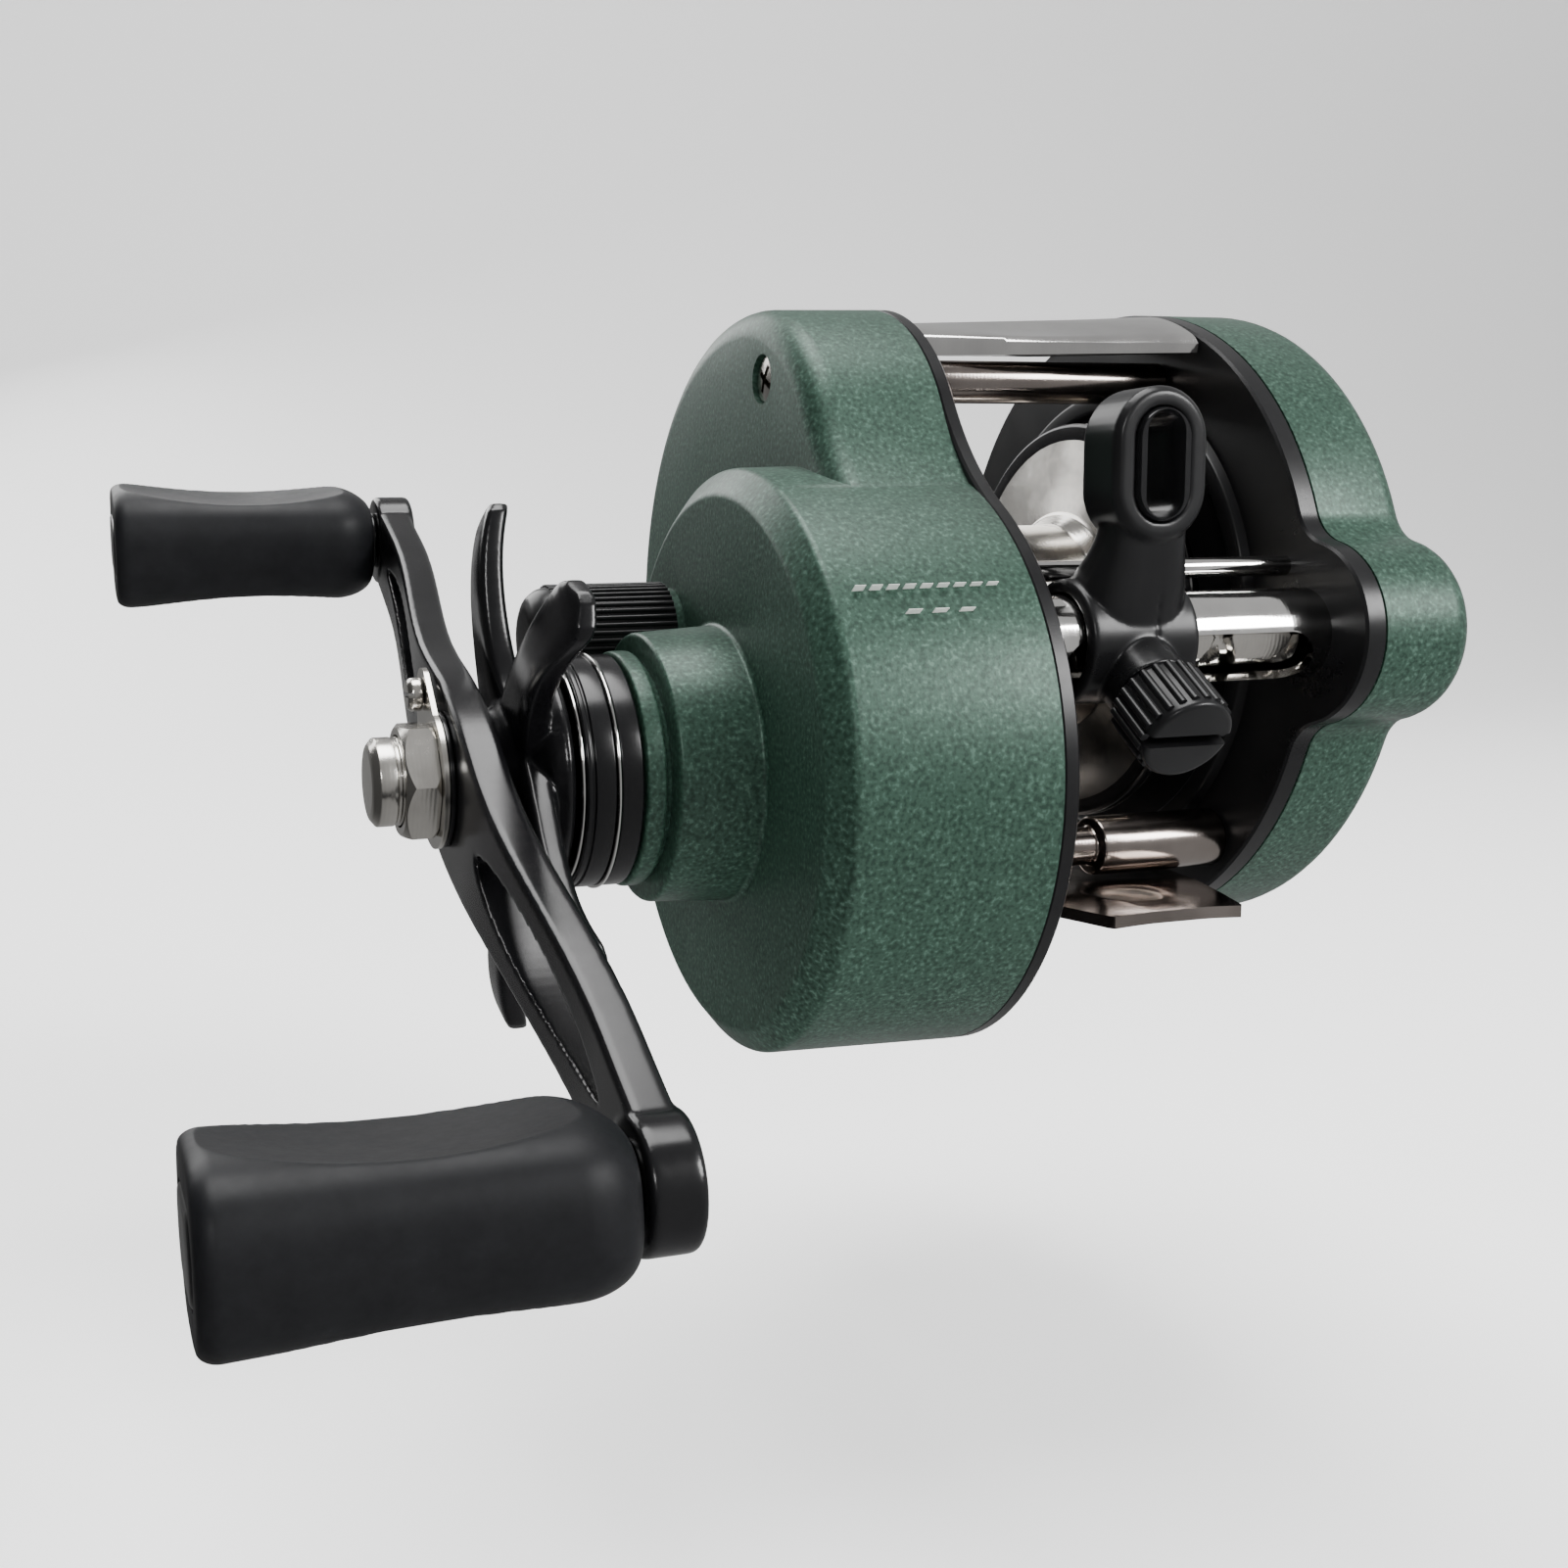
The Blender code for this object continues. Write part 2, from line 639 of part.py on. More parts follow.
def palm_side_plate():
    out = INNER + PALM_FLANGE
    plate = prism("palm_side_plate", palm_outline(), INNER, out, plastic())
    ledge = prism("ledge", palm_outline(-LEDGE_INSET), out - 0.5,
                  out + PLATE_LEDGE)
    posts = [cylinder("post", out, out + PALM_POST_LENGTH, POST_RADIUS - 0.4,
                      at, segments=16) for at in PALM_SCREWS.values()]
    join(plate, [ledge, *posts])
    (y0, y1), (z0, z1) = THUMB_WINDOW
    far = out + PLATE_LEDGE + 8
    cuts = [
        cylinder("brake_opening", INNER - 1, far, BRAKE_OPENING, (0, 0),
                 segments=32),
        cylinder("tube_seat", INNER - 1, INNER + 1.2, TUBE_RADIUS + CLEAR,
                 WORM_AXIS),
        cylinder("rod_seat", INNER - 1, INNER + 1.2, ROD_RADIUS + CLEAR,
                 ROD_AXIS, segments=16),
        block("window", (INNER - 1, far), (y0, y1), (z0, z1)),
    ]
    cuts += [cylinder("pilot", out + 0.8, far, SCREW_THREAD + 0.1, at,
                      segments=16) for at in PALM_SCREWS.values()]
    return boolean(plate, cuts)


def domed_body(name, grow, back, face, crown):
    """Palm cover body: straight wall, quarter-round edge and low dome."""
    sections = [[(back, y, z) for y, z in palm_outline(grow)]]
    steps = 3
    edge = PALM_EDGE
    for i in range(steps + 1):
        a = math.pi / 2 * i / steps
        sections.append([(face + edge * math.sin(a) * 0.85, y, z) for y, z in
                         palm_outline(grow - edge * (1 - math.cos(a)))])
    base = palm_outline(grow - edge)
    top = face + edge * 0.85
    for i in range(1, 4):
        s = 1 - 0.28 * i
        x = top + (crown - top) * (1 - (1 - i / 3) ** 2)
        sections.append([(x, y * s + (1 - s) * -2.0, z * s) for y, z in base])
    return loft(name, sections)


def palm_cover():
    out = INNER + PALM_FLANGE
    cover = domed_body("palm_cover", 0.0, out, PALM_FACE, PALM_CROWN)
    cover.data.materials.append(paint())
    inner = domed_body("hollow", -WALL, out - 1, PALM_FACE - WALL,
                       PALM_CROWN - WALL)
    boolean(cover, [inner])
    posts = [cylinder("post", out + PALM_POST_LENGTH + CLEAR, PALM_FACE + 2.0,
                      POST_RADIUS, at, segments=16)
             for at in PALM_SCREWS.values()]
    join(cover, posts)
    cuts = []
    for y, z in PALM_SCREWS.values():
        cuts.append(lathe("screw_seat", [
            (PALM_CROWN + 2, 0), (PALM_CROWN + 2, SCREW_HEAD + CLEAR),
            (PALM_FACE - 0.7, SCREW_HEAD + CLEAR),
            (PALM_FACE - 0.7, SCREW_THREAD + 0.2),
            (out + 3, SCREW_THREAD + 0.2), (out + 3, 0)], (y, z),
            segments=16))
    return boolean(cover, cuts)


def cross_screw(name, head_x, end_x, at):
    """Countersunk cross-head screw; the head faces away from end_x."""
    way = 1 if end_x > head_x else -1
    screw = lathe(name, [
        (head_x, 0), (head_x, SCREW_HEAD - 0.2),
        (head_x + way * 0.3, SCREW_HEAD), (head_x + way * 1.5, SCREW_HEAD),
        (head_x + way * 1.5, SCREW_THREAD), (end_x, SCREW_THREAD),
        (end_x, 0)], at, steel(), segments=16)
    deep = sorted((head_x - way * 1, head_x + way * 0.8))
    y, z = at
    cuts = [block("cross", deep, (y - 1.2, y + 1.2), (z - 0.28, z + 0.28)),
            block("cross", deep, (y - 0.28, y + 0.28), (z - 1.2, z + 1.2))]
    return boolean(screw, cuts)


def screws():
    for side, at in COVER_SCREWS.items():
        cross_screw(f"cover_screw_{side}", LOBE_FACE + 0.2,
                    LEDGE_OUT - 0.2, at)
    for side, at in PALM_SCREWS.items():
        cross_screw(f"palm_screw_{side}", PALM_FACE + 1.0,
                    INNER + PALM_FLANGE + 1.2, at)


# ---- pillars, thumb rest, foot -----------------------------------------
def pillars():
    reach = INNER - CLEAR
    cylinder("pillar_top", -reach, reach, TOP_PILLAR_RADIUS, TOP_PILLAR,
             gunmetal(), edge=0.3)
    shoulder, slim = 0.3, 1.6
    lathe("pillar_front_low", [
        (-reach, 0), (-reach, slim), (shoulder, slim),
        (shoulder, PILLAR_RADIUS - 0.3), (shoulder + 0.3, PILLAR_RADIUS),
        (reach - 0.3, PILLAR_RADIUS), (reach, PILLAR_RADIUS - 0.3),
        (reach, 0)], LOW_FRONT, gunmetal())
    cylinder("pillar_rear_low", -reach, reach, PILLAR_RADIUS, LOW_REAR,
             gunmetal(), edge=0.3)


def thumb_rest():
    """Dished bar between the plates; its front edge runs across at a slant."""
    thick = 2.0
    floor = TOP_PILLAR[1] + TOP_PILLAR_RADIUS + 0.3
    sections = []
    stations = 10
    reach = INNER - CLEAR
    for i in range(stations + 1):
        s = i / stations
        x = -reach + 2 * reach * s
        dish = 0.75 * math.sin(math.pi * s) ** 2
        front = (-7.6 - 5.3 * s, 24.9 - 0.5 * s)
        back = (-1.4 - 0.4 * s, 26.6 + 0.6 * s)
        top = []
        for k in range(7):
            t = k / 6
            bulge = (0.45 + 0.6 * s) * 4 * t * (1 - t)
            sag = dish * math.sin(math.pi * min(t * 1.2, 1)) * 0.9
            top.append((x, front[0] + (back[0] - front[0]) * t,
                        front[1] + (back[1] - front[1]) * t + bulge - sag))
        low = [(x, y + 0.25, max(z - thick, floor))
               for x, y, z in top[::-1]]
        sections.append(top + low)
    return loft("thumb_rest", sections, chrome())


def foot_section(y, half):
    t = FOOT_THICK
    strip = FOOT_STRIP
    return [(-half, y, -FOOT_ARCH), (-strip, y, 0), (strip, y, 0),
            (half, y, -FOOT_ARCH), (half, y, t - FOOT_ARCH), (strip, y, t),
            (-strip, y, t), (-half, y, t - FOOT_ARCH)]


def reel_foot():
    swell = FOOT_MIDDLE - FOOT_END
    stations = [(FOOT_FRONT, FOOT_END - 0.3), (FOOT_FRONT + 0.4, FOOT_END),
                (FOOT_FRONT + 4.6, FOOT_END + 0.37 * swell),
                (FOOT_FRONT + 10, FOOT_END + 0.8 * swell),
                (FOOT_FRONT + 16, FOOT_MIDDLE), (FOOT_REAR - 14, FOOT_MIDDLE),
                (FOOT_REAR - 8, FOOT_END + 0.6 * swell),
                (FOOT_REAR - 0.4, FOOT_END), (FOOT_REAR, FOOT_END - 0.3)]
    drop = -AXIS_HEIGHT
    sections = [[(x, y, z + drop) for x, y, z in foot_section(y, half)]
                for y, half in stations]
    foot = loft("reel_foot", sections, gunmetal(), smooth=25)
    cuts = []
    for y in RIVETS.values():
        cuts.append(upright("countersink", [
            (-1, 0), (-1, RIVET_RADIUS + CLEAR), (0.3, RIVET_RADIUS + CLEAR),
            (FOOT_THICK + 0.02, 3.0 + CLEAR), (FOOT_THICK + 1, 3.0 + CLEAR),
            (FOOT_THICK + 1, 0)], 0, y))
    return boolean(foot, cuts)


RIVETS = {"front": -22.8, "rear": 22.8}
RIVET_RADIUS = 1.4


def upright(name, profile, x, y, mat=None, segments=20):
    """Revolve (height, r) around a vertical line; heights from the seat."""
    verts, faces, rings = [], [], []
    for h, r in profile:
        if r < 1e-6:
            rings.append([len(verts)] * segments)
            verts.append((x, y, h - AXIS_HEIGHT))
            continue
        rings.append(list(range(len(verts), len(verts) + segments)))
        for k in range(segments):
            a = 2 * math.pi * k / segments
            verts.append((x + r * math.cos(a), y + r * math.sin(a),
                          h - AXIS_HEIGHT))
    for i in range(len(profile)):
        a, b = rings[i], rings[(i + 1) % len(profile)]
        if a[0] == a[1] and b[0] == b[1]:
            continue
        for k in range(segments):
            m = (k + 1) % segments
            face = []
            for v in (a[k], a[m], b[m], b[k]):
                if v not in face:
                    face.append(v)
            faces.append(face)
    return make(name, verts, faces, mat)


def rivets():
    for end, y in RIVETS.items():
        upright(f"foot_rivet_{end}", [
            (0.02, 0), (0.02, RIVET_RADIUS), (0.3, RIVET_RADIUS),
            (FOOT_THICK - 0.15, 2.75), (FOOT_THICK - 0.15, 2.2),
            (FOOT_THICK - 0.45, 1.2), (FOOT_THICK - 0.45, 0)], 0, y,
            steel())


# ---- level wind --------------------------------------------------------
def worm_tube():
    reach = INNER + 1.2 - CLEAR
    tube = ring("worm_tube", -reach, reach, TUBE_RADIUS,
                TUBE_RADIUS - TUBE_WALL, WORM_AXIS, chrome(), edge=0.2)
    half = INNER - SLOT_END - SLOT_WIDTH / 2
    steps = 8
    r = SLOT_WIDTH / 2
    outline = [(half + r * math.cos(a), r * math.sin(a)) for a in
               (-math.pi / 2 + math.pi * i / steps
                for i in range(steps + 1))]
    outline += [(-x, -w) for x, w in outline]
    sections = []
    for depth in (1.0, TUBE_RADIUS + 1.5):
        sections.append([(x, WORM_AXIS[0] + depth * SLOT_DIR[0]
                          - w * SLOT_DIR[1],
                          WORM_AXIS[1] + depth * SLOT_DIR[1]
                          + w * SLOT_DIR[0]) for x, w in outline])
    return boolean(tube, [loft("slot", sections)])


def worm_shaft():
    """Worm with two crossed helical grooves cut as a diamond pattern."""
    length = 2 * (INNER - 2.0)
    pitch = 7.0
    rows, around = 24, 10
    depth = 0.6
    verts, faces = [], []
    x0 = -length / 2
    for i in range(rows + 1):
        x = x0 + length * i / rows
        for k in range(around):
            a = 2 * math.pi * k / around
            gap = 1.0
            for hand in (1, -1):
                lead = (hand * a / (2 * math.pi) - x / pitch) % 1.0
                lead = min(lead, 1 - lead) * pitch
                gap = min(gap, max(0.0, (lead - 0.4) / 0.5))
            if i in (0, rows):
                gap = 1.0
            r = WORM_RADIUS - depth * (1 - min(gap, 1.0))
            verts.append((x, WORM_AXIS[0] + r * math.cos(a),
                          WORM_AXIS[1] + r * math.sin(a)))
    left, right = len(verts), len(verts) + around
    for x, r in ((x0, WORM_END_RADIUS), (x0 + length, WORM_END_RADIUS)):
        for k in range(around):
            a = 2 * math.pi * k / around
            verts.append((x, WORM_AXIS[0] + r * math.cos(a),
                          WORM_AXIS[1] + r * math.sin(a)))
    ends = []
    for x in (LEDGE_OUT - 2.5, INNER + 1.0):
        ends.append(len(verts))
        for k in range(around):
            a = 2 * math.pi * k / around
            verts.append((x, WORM_AXIS[0] + WORM_END_RADIUS * math.cos(a),
                          WORM_AXIS[1] + WORM_END_RADIUS * math.sin(a)))
    chain = [ends[0], left, *[i * around for i in range(rows + 1)], right,
             ends[1]]
    for a, b in zip(chain, chain[1:]):
        for k in range(around):
            m = (k + 1) % around
            faces.append([a + k, a + m, b + m, b + k])
    faces.append([ends[0] + k for k in range(around)][::-1])
    faces.append([ends[1] + k for k in range(around)])
    worm = make("worm_shaft", verts, faces, steel())
    return set_origin(worm, 0, *WORM_AXIS)


def line_guide():
    half = COLLAR_WIDTH / 2
    x0, x1 = GUIDE_X - half, GUIDE_X + half
    guide = cylinder("line_guide", x0, x1, COLLAR_RADIUS, WORM_AXIS,
                     plastic(), edge=0.4)
    width, height = EYE_WIDTH + EYE_RIM[0], EYE_HEIGHT + EYE_RIM[1]
    outline = stadium(GUIDE_X, EYE_Z, width, height)
    eye = loft("eye", [[(x, EYE_FACE + EYE_DEPTH, z) for x, z in outline],
                       [(x, EYE_FACE + 0.4, z) for x, z in outline],
                       [(x, EYE_FACE, z) for x, z in
                        stadium(GUIDE_X, EYE_Z, width - 0.7,
                                height - 0.7)]])
    neck_z = EYE_Z - EYE_HEIGHT / 2 - 1.3
    worm_y = WORM_AXIS[0]
    neck = []
    for z, y0, y1, w in ((1.2, worm_y - 3.7, worm_y + 3.4, 3.3),
                         (3.8, worm_y - 4.2, worm_y + 3.6, 3.1),
                         (6.3, worm_y - 4.9, worm_y + 2.9, 2.8),
                         (neck_z, EYE_FACE + 0.8, EYE_FACE + EYE_DEPTH - 0.2,
                          2.9),
                         (neck_z + 1.9, EYE_FACE + 0.5,
                          EYE_FACE + EYE_DEPTH - 0.3, 3.5)):
        bevel = 0.7
        neck.append([(GUIDE_X + sx, y, z) for sx, y in (
            (-w, y0 + bevel), (-w + bevel, y0), (w - bevel, y0),
            (w, y0 + bevel), (w, y1 - bevel), (w - bevel, y1),
            (-w + bevel, y1), (-w, y1 - bevel))])
    cheek = [(worm_y + y, z) for y, z in (
        (-4.7, 5.8), (3.6, 7.2), (4.6, 3.3), (1.9, 0.8), (-4.2, 2.2))]
    shoulder = prism("shoulder", cheek, GUIDE_X - half + 0.7,
                     GUIDE_X + half - 0.7)
    pocket = spun("pocket", [(2.0, 0), (2.0, PAWL_CAP_RADIUS - 0.6),
                             (PAWL_CAP_START - 0.3, PAWL_CAP_RADIUS - 0.6),
                             (PAWL_CAP_START - 0.3, 0)],
                  (GUIDE_X, *WORM_AXIS), SLOT_DIR)
    join(guide, [loft("neck", neck), shoulder, eye, pocket])
    insert = stadium(GUIDE_X, EYE_Z, EYE_WIDTH + INSERT_RIM[0] + 0.2,
                     EYE_HEIGHT + INSERT_RIM[1] + 0.2)
    cuts = [
        cylinder("tube_bore", x0 - 1, x1 + 1, TUBE_RADIUS + 0.2, WORM_AXIS),
        cylinder("rod_bore", x0 - 1, x1 + 1, ROD_RADIUS + 0.2, ROD_AXIS,
                 segments=16),
        loft("eye_hole", [[(x, EYE_FACE - 1, z) for x, z in insert],
                          [(x, EYE_FACE + EYE_DEPTH + 1, z)
                           for x, z in insert]]),
        spun("pawl_bore", [(0, 0), (0, PAWL_RADIUS + 0.2),
                           (PAWL_CAP_START + 1, PAWL_RADIUS + 0.2),
                           (PAWL_CAP_START + 1, 0)],
             (GUIDE_X, *WORM_AXIS), SLOT_DIR, segments=16),
    ]
    boolean(guide, cuts)
    return set_origin(guide, GUIDE_X, *WORM_AXIS)


def guide_insert():
    outer = stadium(GUIDE_X, EYE_Z, EYE_WIDTH + INSERT_RIM[0],
                    EYE_HEIGHT + INSERT_RIM[1])
    inner = stadium(GUIDE_X, EYE_Z, EYE_WIDTH, EYE_HEIGHT)
    front, back = EYE_FACE - 0.3, EYE_FACE + EYE_DEPTH + 0.2
    count = len(outer)
    verts = []
    for y, shape in ((front, outer), (back, outer), (back, inner),
                     (front, inner)):
        verts += [(x, y, z) for x, z in shape]
    faces = []
    for row in range(4):
        nxt = (row + 1) % 4
        for i in range(count):
            j = (i + 1) % count
            faces.append([row * count + i, row * count + j, nxt * count + j,
                          nxt * count + i])
    return make("guide_insert", verts, faces, gunmetal())


def pawl():
    base = (GUIDE_X, *WORM_AXIS)
    lip = WORM_RADIUS + RUN
    body = spun("pawl", [(lip, 0), (lip, 0.8), (lip + 0.8, 0.9),
                         (lip + 0.8, PAWL_RADIUS),
                         (PAWL_CAP_START - 0.3, PAWL_RADIUS),
                         (PAWL_CAP_START - 0.3, 0)], base, SLOT_DIR, brass(),
                segments=16)
    return set_origin(body, *base)


def pawl_cap():
    base = (GUIDE_X, *WORM_AXIS)
    near = PAWL_CAP_START
    far = near + PAWL_CAP_LENGTH
    cap = spun("pawl_cap", [(near, 0), (near, PAWL_CAP_RADIUS),
                            (far - 0.5, PAWL_CAP_RADIUS),
                            (far, PAWL_CAP_RADIUS - 0.5), (far, 0)], base,
               SLOT_DIR, plastic(), segments=36, scallops=0.25)
    dy, dz = SLOT_DIR
    sections = []
    for t in (far - 1.2, far + 1):
        sections.append([(GUIDE_X + u, base[1] + t * dy - v * dz,
                          base[2] + t * dz + v * dy)
                         for u, v in ((-5, -0.45), (5, -0.45), (5, 0.45),
                                      (-5, 0.45))])
    boolean(cap, [loft("slot", sections)])
    return set_origin(cap, *base)


# ---- spool -------------------------------------------------------------
def spool():
    r, f = FLANGE_RADIUS, FLANGE_THICK
    left, right = SPOOL_LEFT, SPOOL_RIGHT
    rim = 1.0
    web = r - 5.6
    bore = SHAFT_RADIUS + CLEAR
    body = lathe("spool", [
        (left + 1.3, bore), (left + 1.3, 5.8), (left + 0.8, web),
        (left, r - rim), (left, r), (left + f, r), (left + f, r - 0.8),
        (left + f + 0.75, ARBOR_RADIUS + 1.0),
        (left + f + 2.0, ARBOR_RADIUS), (right - f - 2.0, ARBOR_RADIUS),
        (right - f - 0.75, ARBOR_RADIUS + 1.0), (right - f, r - 0.8),
        (right - f, r), (right, r), (right, r - rim), (right - 0.8, web),
        (right - 1.3, 5.8), (right - 1.3, bore)], (0, 0), steel(),
        segments=28)
    return set_origin(body, 0, 0, 0)


def spool_shaft():
    left = LUG_END + 0.2
    end = INNER + 6.9
    shaft = lathe("spool_shaft", [
        (left, 0), (left, SHAFT_THIN), (LEDGE_OUT - 0.3, SHAFT_THIN),
        (LEDGE_OUT - 0.3, SHAFT_RADIUS), (end, SHAFT_RADIUS), (end, 0)],
        (0, 0), steel(), segments=16)
    return set_origin(shaft, 0, 0, 0)


def brake_blocks():
    """Two centrifugal blocks beside the spool, inside the drum."""
    hub_x = (SPOOL_RIGHT + 0.4, SPOOL_RIGHT + 2.6)
    reach = DRUM_RADIUS - 1.7
    for name, sign in (("brake_block_upper", 1), ("brake_block_lower", -1)):
        shoe = block(name, hub_x, (-1.7, 1.7),
                     tuple(sorted((sign * 2.5, sign * reach))), nylon())
        set_origin(shoe, hub_x[0], 0, 0)


def brake_drum():
    """Cup in the palm cover that the blocks rub on and the bearing sits in."""
    start = INNER - 3.0
    hub = BEARING_RADIUS + 2.0
    drum = lathe("brake_drum", [
        (start, DRUM_RADIUS - 1.2), (start, DRUM_RADIUS),
        (INNER + 4.2, DRUM_RADIUS), (INNER + 4.2, DRUM_RADIUS - 3.4),
        (INNER + 5.4, hub), (INNER + 8.2, hub), (INNER + 8.2, 1.0),
        (INNER + 7.2, 1.0), (INNER + 7.2, BEARING_RADIUS + CLEAR),
        (INNER + 4.6, BEARING_RADIUS + CLEAR),
        (INNER + 3.2, BEARING_RADIUS + 1.2),
        (INNER + 3.2, DRUM_RADIUS - 1.2)], (0, 0), anodised(),
        segments=20)
    return drum


def bearings():
    ring("spool_bearing_handle", LEDGE_OUT + 0.2, LEDGE_OUT + 0.2
         + BEARING_WIDE, BEARING_RADIUS, SHAFT_RADIUS + CLEAR, (0, 0),
         steel())
    ring("spool_bearing_palm", INNER + 4.8, INNER + 4.8 + BEARING_WIDE,
         BEARING_RADIUS, SHAFT_RADIUS + CLEAR, (0, 0), steel())
    ring("drive_bearing", LEDGE_OUT + 0.2, LEDGE_OUT + 0.2 + BEARING_WIDE,
         DRIVE_BEARING_RADIUS, DRIVE_CORE_RADIUS + CLEAR, DRIVE,
         steel())
    ring("one_way_bearing", BOSS_FACE + 0.6, HOUSING_FACE - 0.2,
         ONE_WAY_RADIUS, DRIVE_SHAFT_RADIUS + RUN, DRIVE, steel())


# ---- drive -------------------------------------------------------------
AUX_X = (LEDGE_OUT - 2.1, LEDGE_OUT - 0.6)
GEAR_X = (LEDGE_OUT - 5.6, LEDGE_OUT - 2.7)
YOKE_X = (GEAR_X[0] - 1.5, GEAR_X[0] - 0.5)
CUP_RADIUS = 7.9            # recess of the drive gear for the drag washer
PINION_NECK = 1.25


def drive_parts():
    tip = DRIVE_SHAFT_RADIUS - 0.3
    shaft = lathe("drive_shaft", [
        (SHAFT_TIP, 0), (SHAFT_TIP, tip - 0.5), (SHAFT_TIP + 0.5, tip),
        (GEAR_X[0] - 2.8, tip), (GEAR_X[0] - 2.8, DRIVE_SHAFT_RADIUS + 1.0),
        (GEAR_X[0] - 2.1, DRIVE_SHAFT_RADIUS + 1.0),
        (GEAR_X[0] - 2.1, DRIVE_CORE_RADIUS),
        (-INNER - 0.3, DRIVE_CORE_RADIUS), (-INNER - 0.3, 0)], DRIVE,
        steel(), segments=24)
    set_origin(shaft, 0, *DRIVE)

    bore = DRIVE_CORE_RADIUS + CLEAR
    toward = heading(DRIVE, (0, 0))
    gear = bored_gear("drive_gear", DRIVE_TEETH, DRIVE, toward, *GEAR_X,
                      bore, brass())
    cup = cylinder("cup", GEAR_X[0] - 1, GEAR_X[0] + 1.3, CUP_RADIUS, DRIVE)
    set_origin(boolean(gear, [cup]), 0, *DRIVE)

    washer = ring("drag_washer", GEAR_X[0] + 0.5, GEAR_X[0] + 1.2,
                  CUP_RADIUS - 0.3, bore, DRIVE, fibre())
    set_origin(washer, 0, *DRIVE)
    key = ring("key_washer", GEAR_X[0] - 1.2, GEAR_X[0] + 0.4,
               CUP_RADIUS - 0.5, bore, DRIVE, steel(), edge=0.2)
    set_origin(key, 0, *DRIVE)

    aux_phase = heading(DRIVE, IDLER)
    aux = bored_gear("level_wind_drive_gear", AUX_TEETH, DRIVE, aux_phase,
                     *AUX_X, bore, nylon())
    set_origin(aux, 0, *DRIVE)
    idler_phase = meshed_phase(AUX_TEETH, DRIVE, aux_phase, IDLER_TEETH,
                               IDLER)
    idler = bored_gear("idler_gear", IDLER_TEETH, IDLER, idler_phase,
                       *AUX_X, WORM_END_RADIUS + RUN, nylon())
    set_origin(idler, 0, *IDLER)
    worm_phase = meshed_phase(IDLER_TEETH, IDLER, idler_phase, WORM_TEETH,
                              WORM_AXIS)
    worm = bored_gear("worm_gear", WORM_TEETH, WORM_AXIS, worm_phase,
                      *AUX_X, WORM_END_RADIUS + 0.1, nylon())
    set_origin(worm, 0, *WORM_AXIS)

    pinion_phase = meshed_phase(DRIVE_TEETH, DRIVE, toward, PINION_TEETH,
                                (0, 0))
    body = prism("pinion_gear", gear_outline(PINION_TEETH, (0, 0),
                                             pinion_phase),
                 YOKE_X[1] + 0.3, GEAR_X[1] + 0.6, brass(), 0)
    head = lathe("head", [
        (YOKE_X[0] - 1.2, 0), (YOKE_X[0] - 1.2, PINION_NECK + 0.65),
        (YOKE_X[0] - 0.3, PINION_NECK + 0.65), (YOKE_X[0] - 0.3, PINION_NECK),
        (YOKE_X[1] + 0.8, PINION_NECK), (YOKE_X[1] + 0.8, 0)], (0, 0),
        segments=24)
    join(body, [head])
    boolean(body, [cylinder("bore", YOKE_X[0] - 3, GEAR_X[1] + 3,
                            SHAFT_THIN + 0.15, (0, 0), segments=16)])
    set_origin(body, 0, 0, 0)


def clutch_yoke():
    """Fork round the pinion neck that the thumb bar lifts."""
    x = YOKE_X
    fork = PINION_NECK + RUN
    yoke = block("clutch_yoke", x, (-3.2, 14.6), (-2.8, 2.8), steel())
    cut = cylinder("fork", x[0] - 1, x[1] + 1, fork, (0, 0))
    mouth = block("mouth", (x[0] - 1, x[1] + 1), (-8, 0), (-fork, fork))
    boolean(yoke, [cut, mouth])
    return set_origin(yoke, 0, 0, 0)


def thumb_bar():
    """Spool release pad between the plates behind the spool."""
    (y0, y1), (z0, z1) = THUMB_WINDOW
    reach = INNER + 2.8
    gap = 0.5
    near = y0 + gap + 2.7
    outline = [(near, z1 - 3.7), (y1 - gap, z1 - 3.7),
               (y1 - gap, z1 - 1.4), (y1 - gap - 1.0, z1 - gap),
               (near + 1.0, z1 - gap), (near, z1 - 1.4)]
    bar = prism("thumb_bar", outline, -reach, reach, plastic(), 30)
    return set_origin(bar, 0, y0 + 4, z1 - 2)


# ---- star, rings and tension cap ---------------------------------------
def drag_rings():
    inner = DRIVE_SHAFT_RADIUS + RUN
    x = STAGE_FACE - RUN
    for name, wide, radius, mat in (
            ("drag_ring_inner", 1.75, RING_RADIUS, anodised()),
            ("spring_washer_inner", 0.3, RING_RADIUS + 0.2, chrome()),
            ("drag_ring_outer", 2.3, RING_RADIUS, anodised()),
            ("spring_washer_outer", 0.3, RING_RADIUS - 0.3, chrome())):
        piece = ring(name, x - wide, x, radius, inner, DRIVE, mat,
                     segments=24)
        set_origin(piece, 0, *DRIVE)
        x -= wide + 0.05
    return x


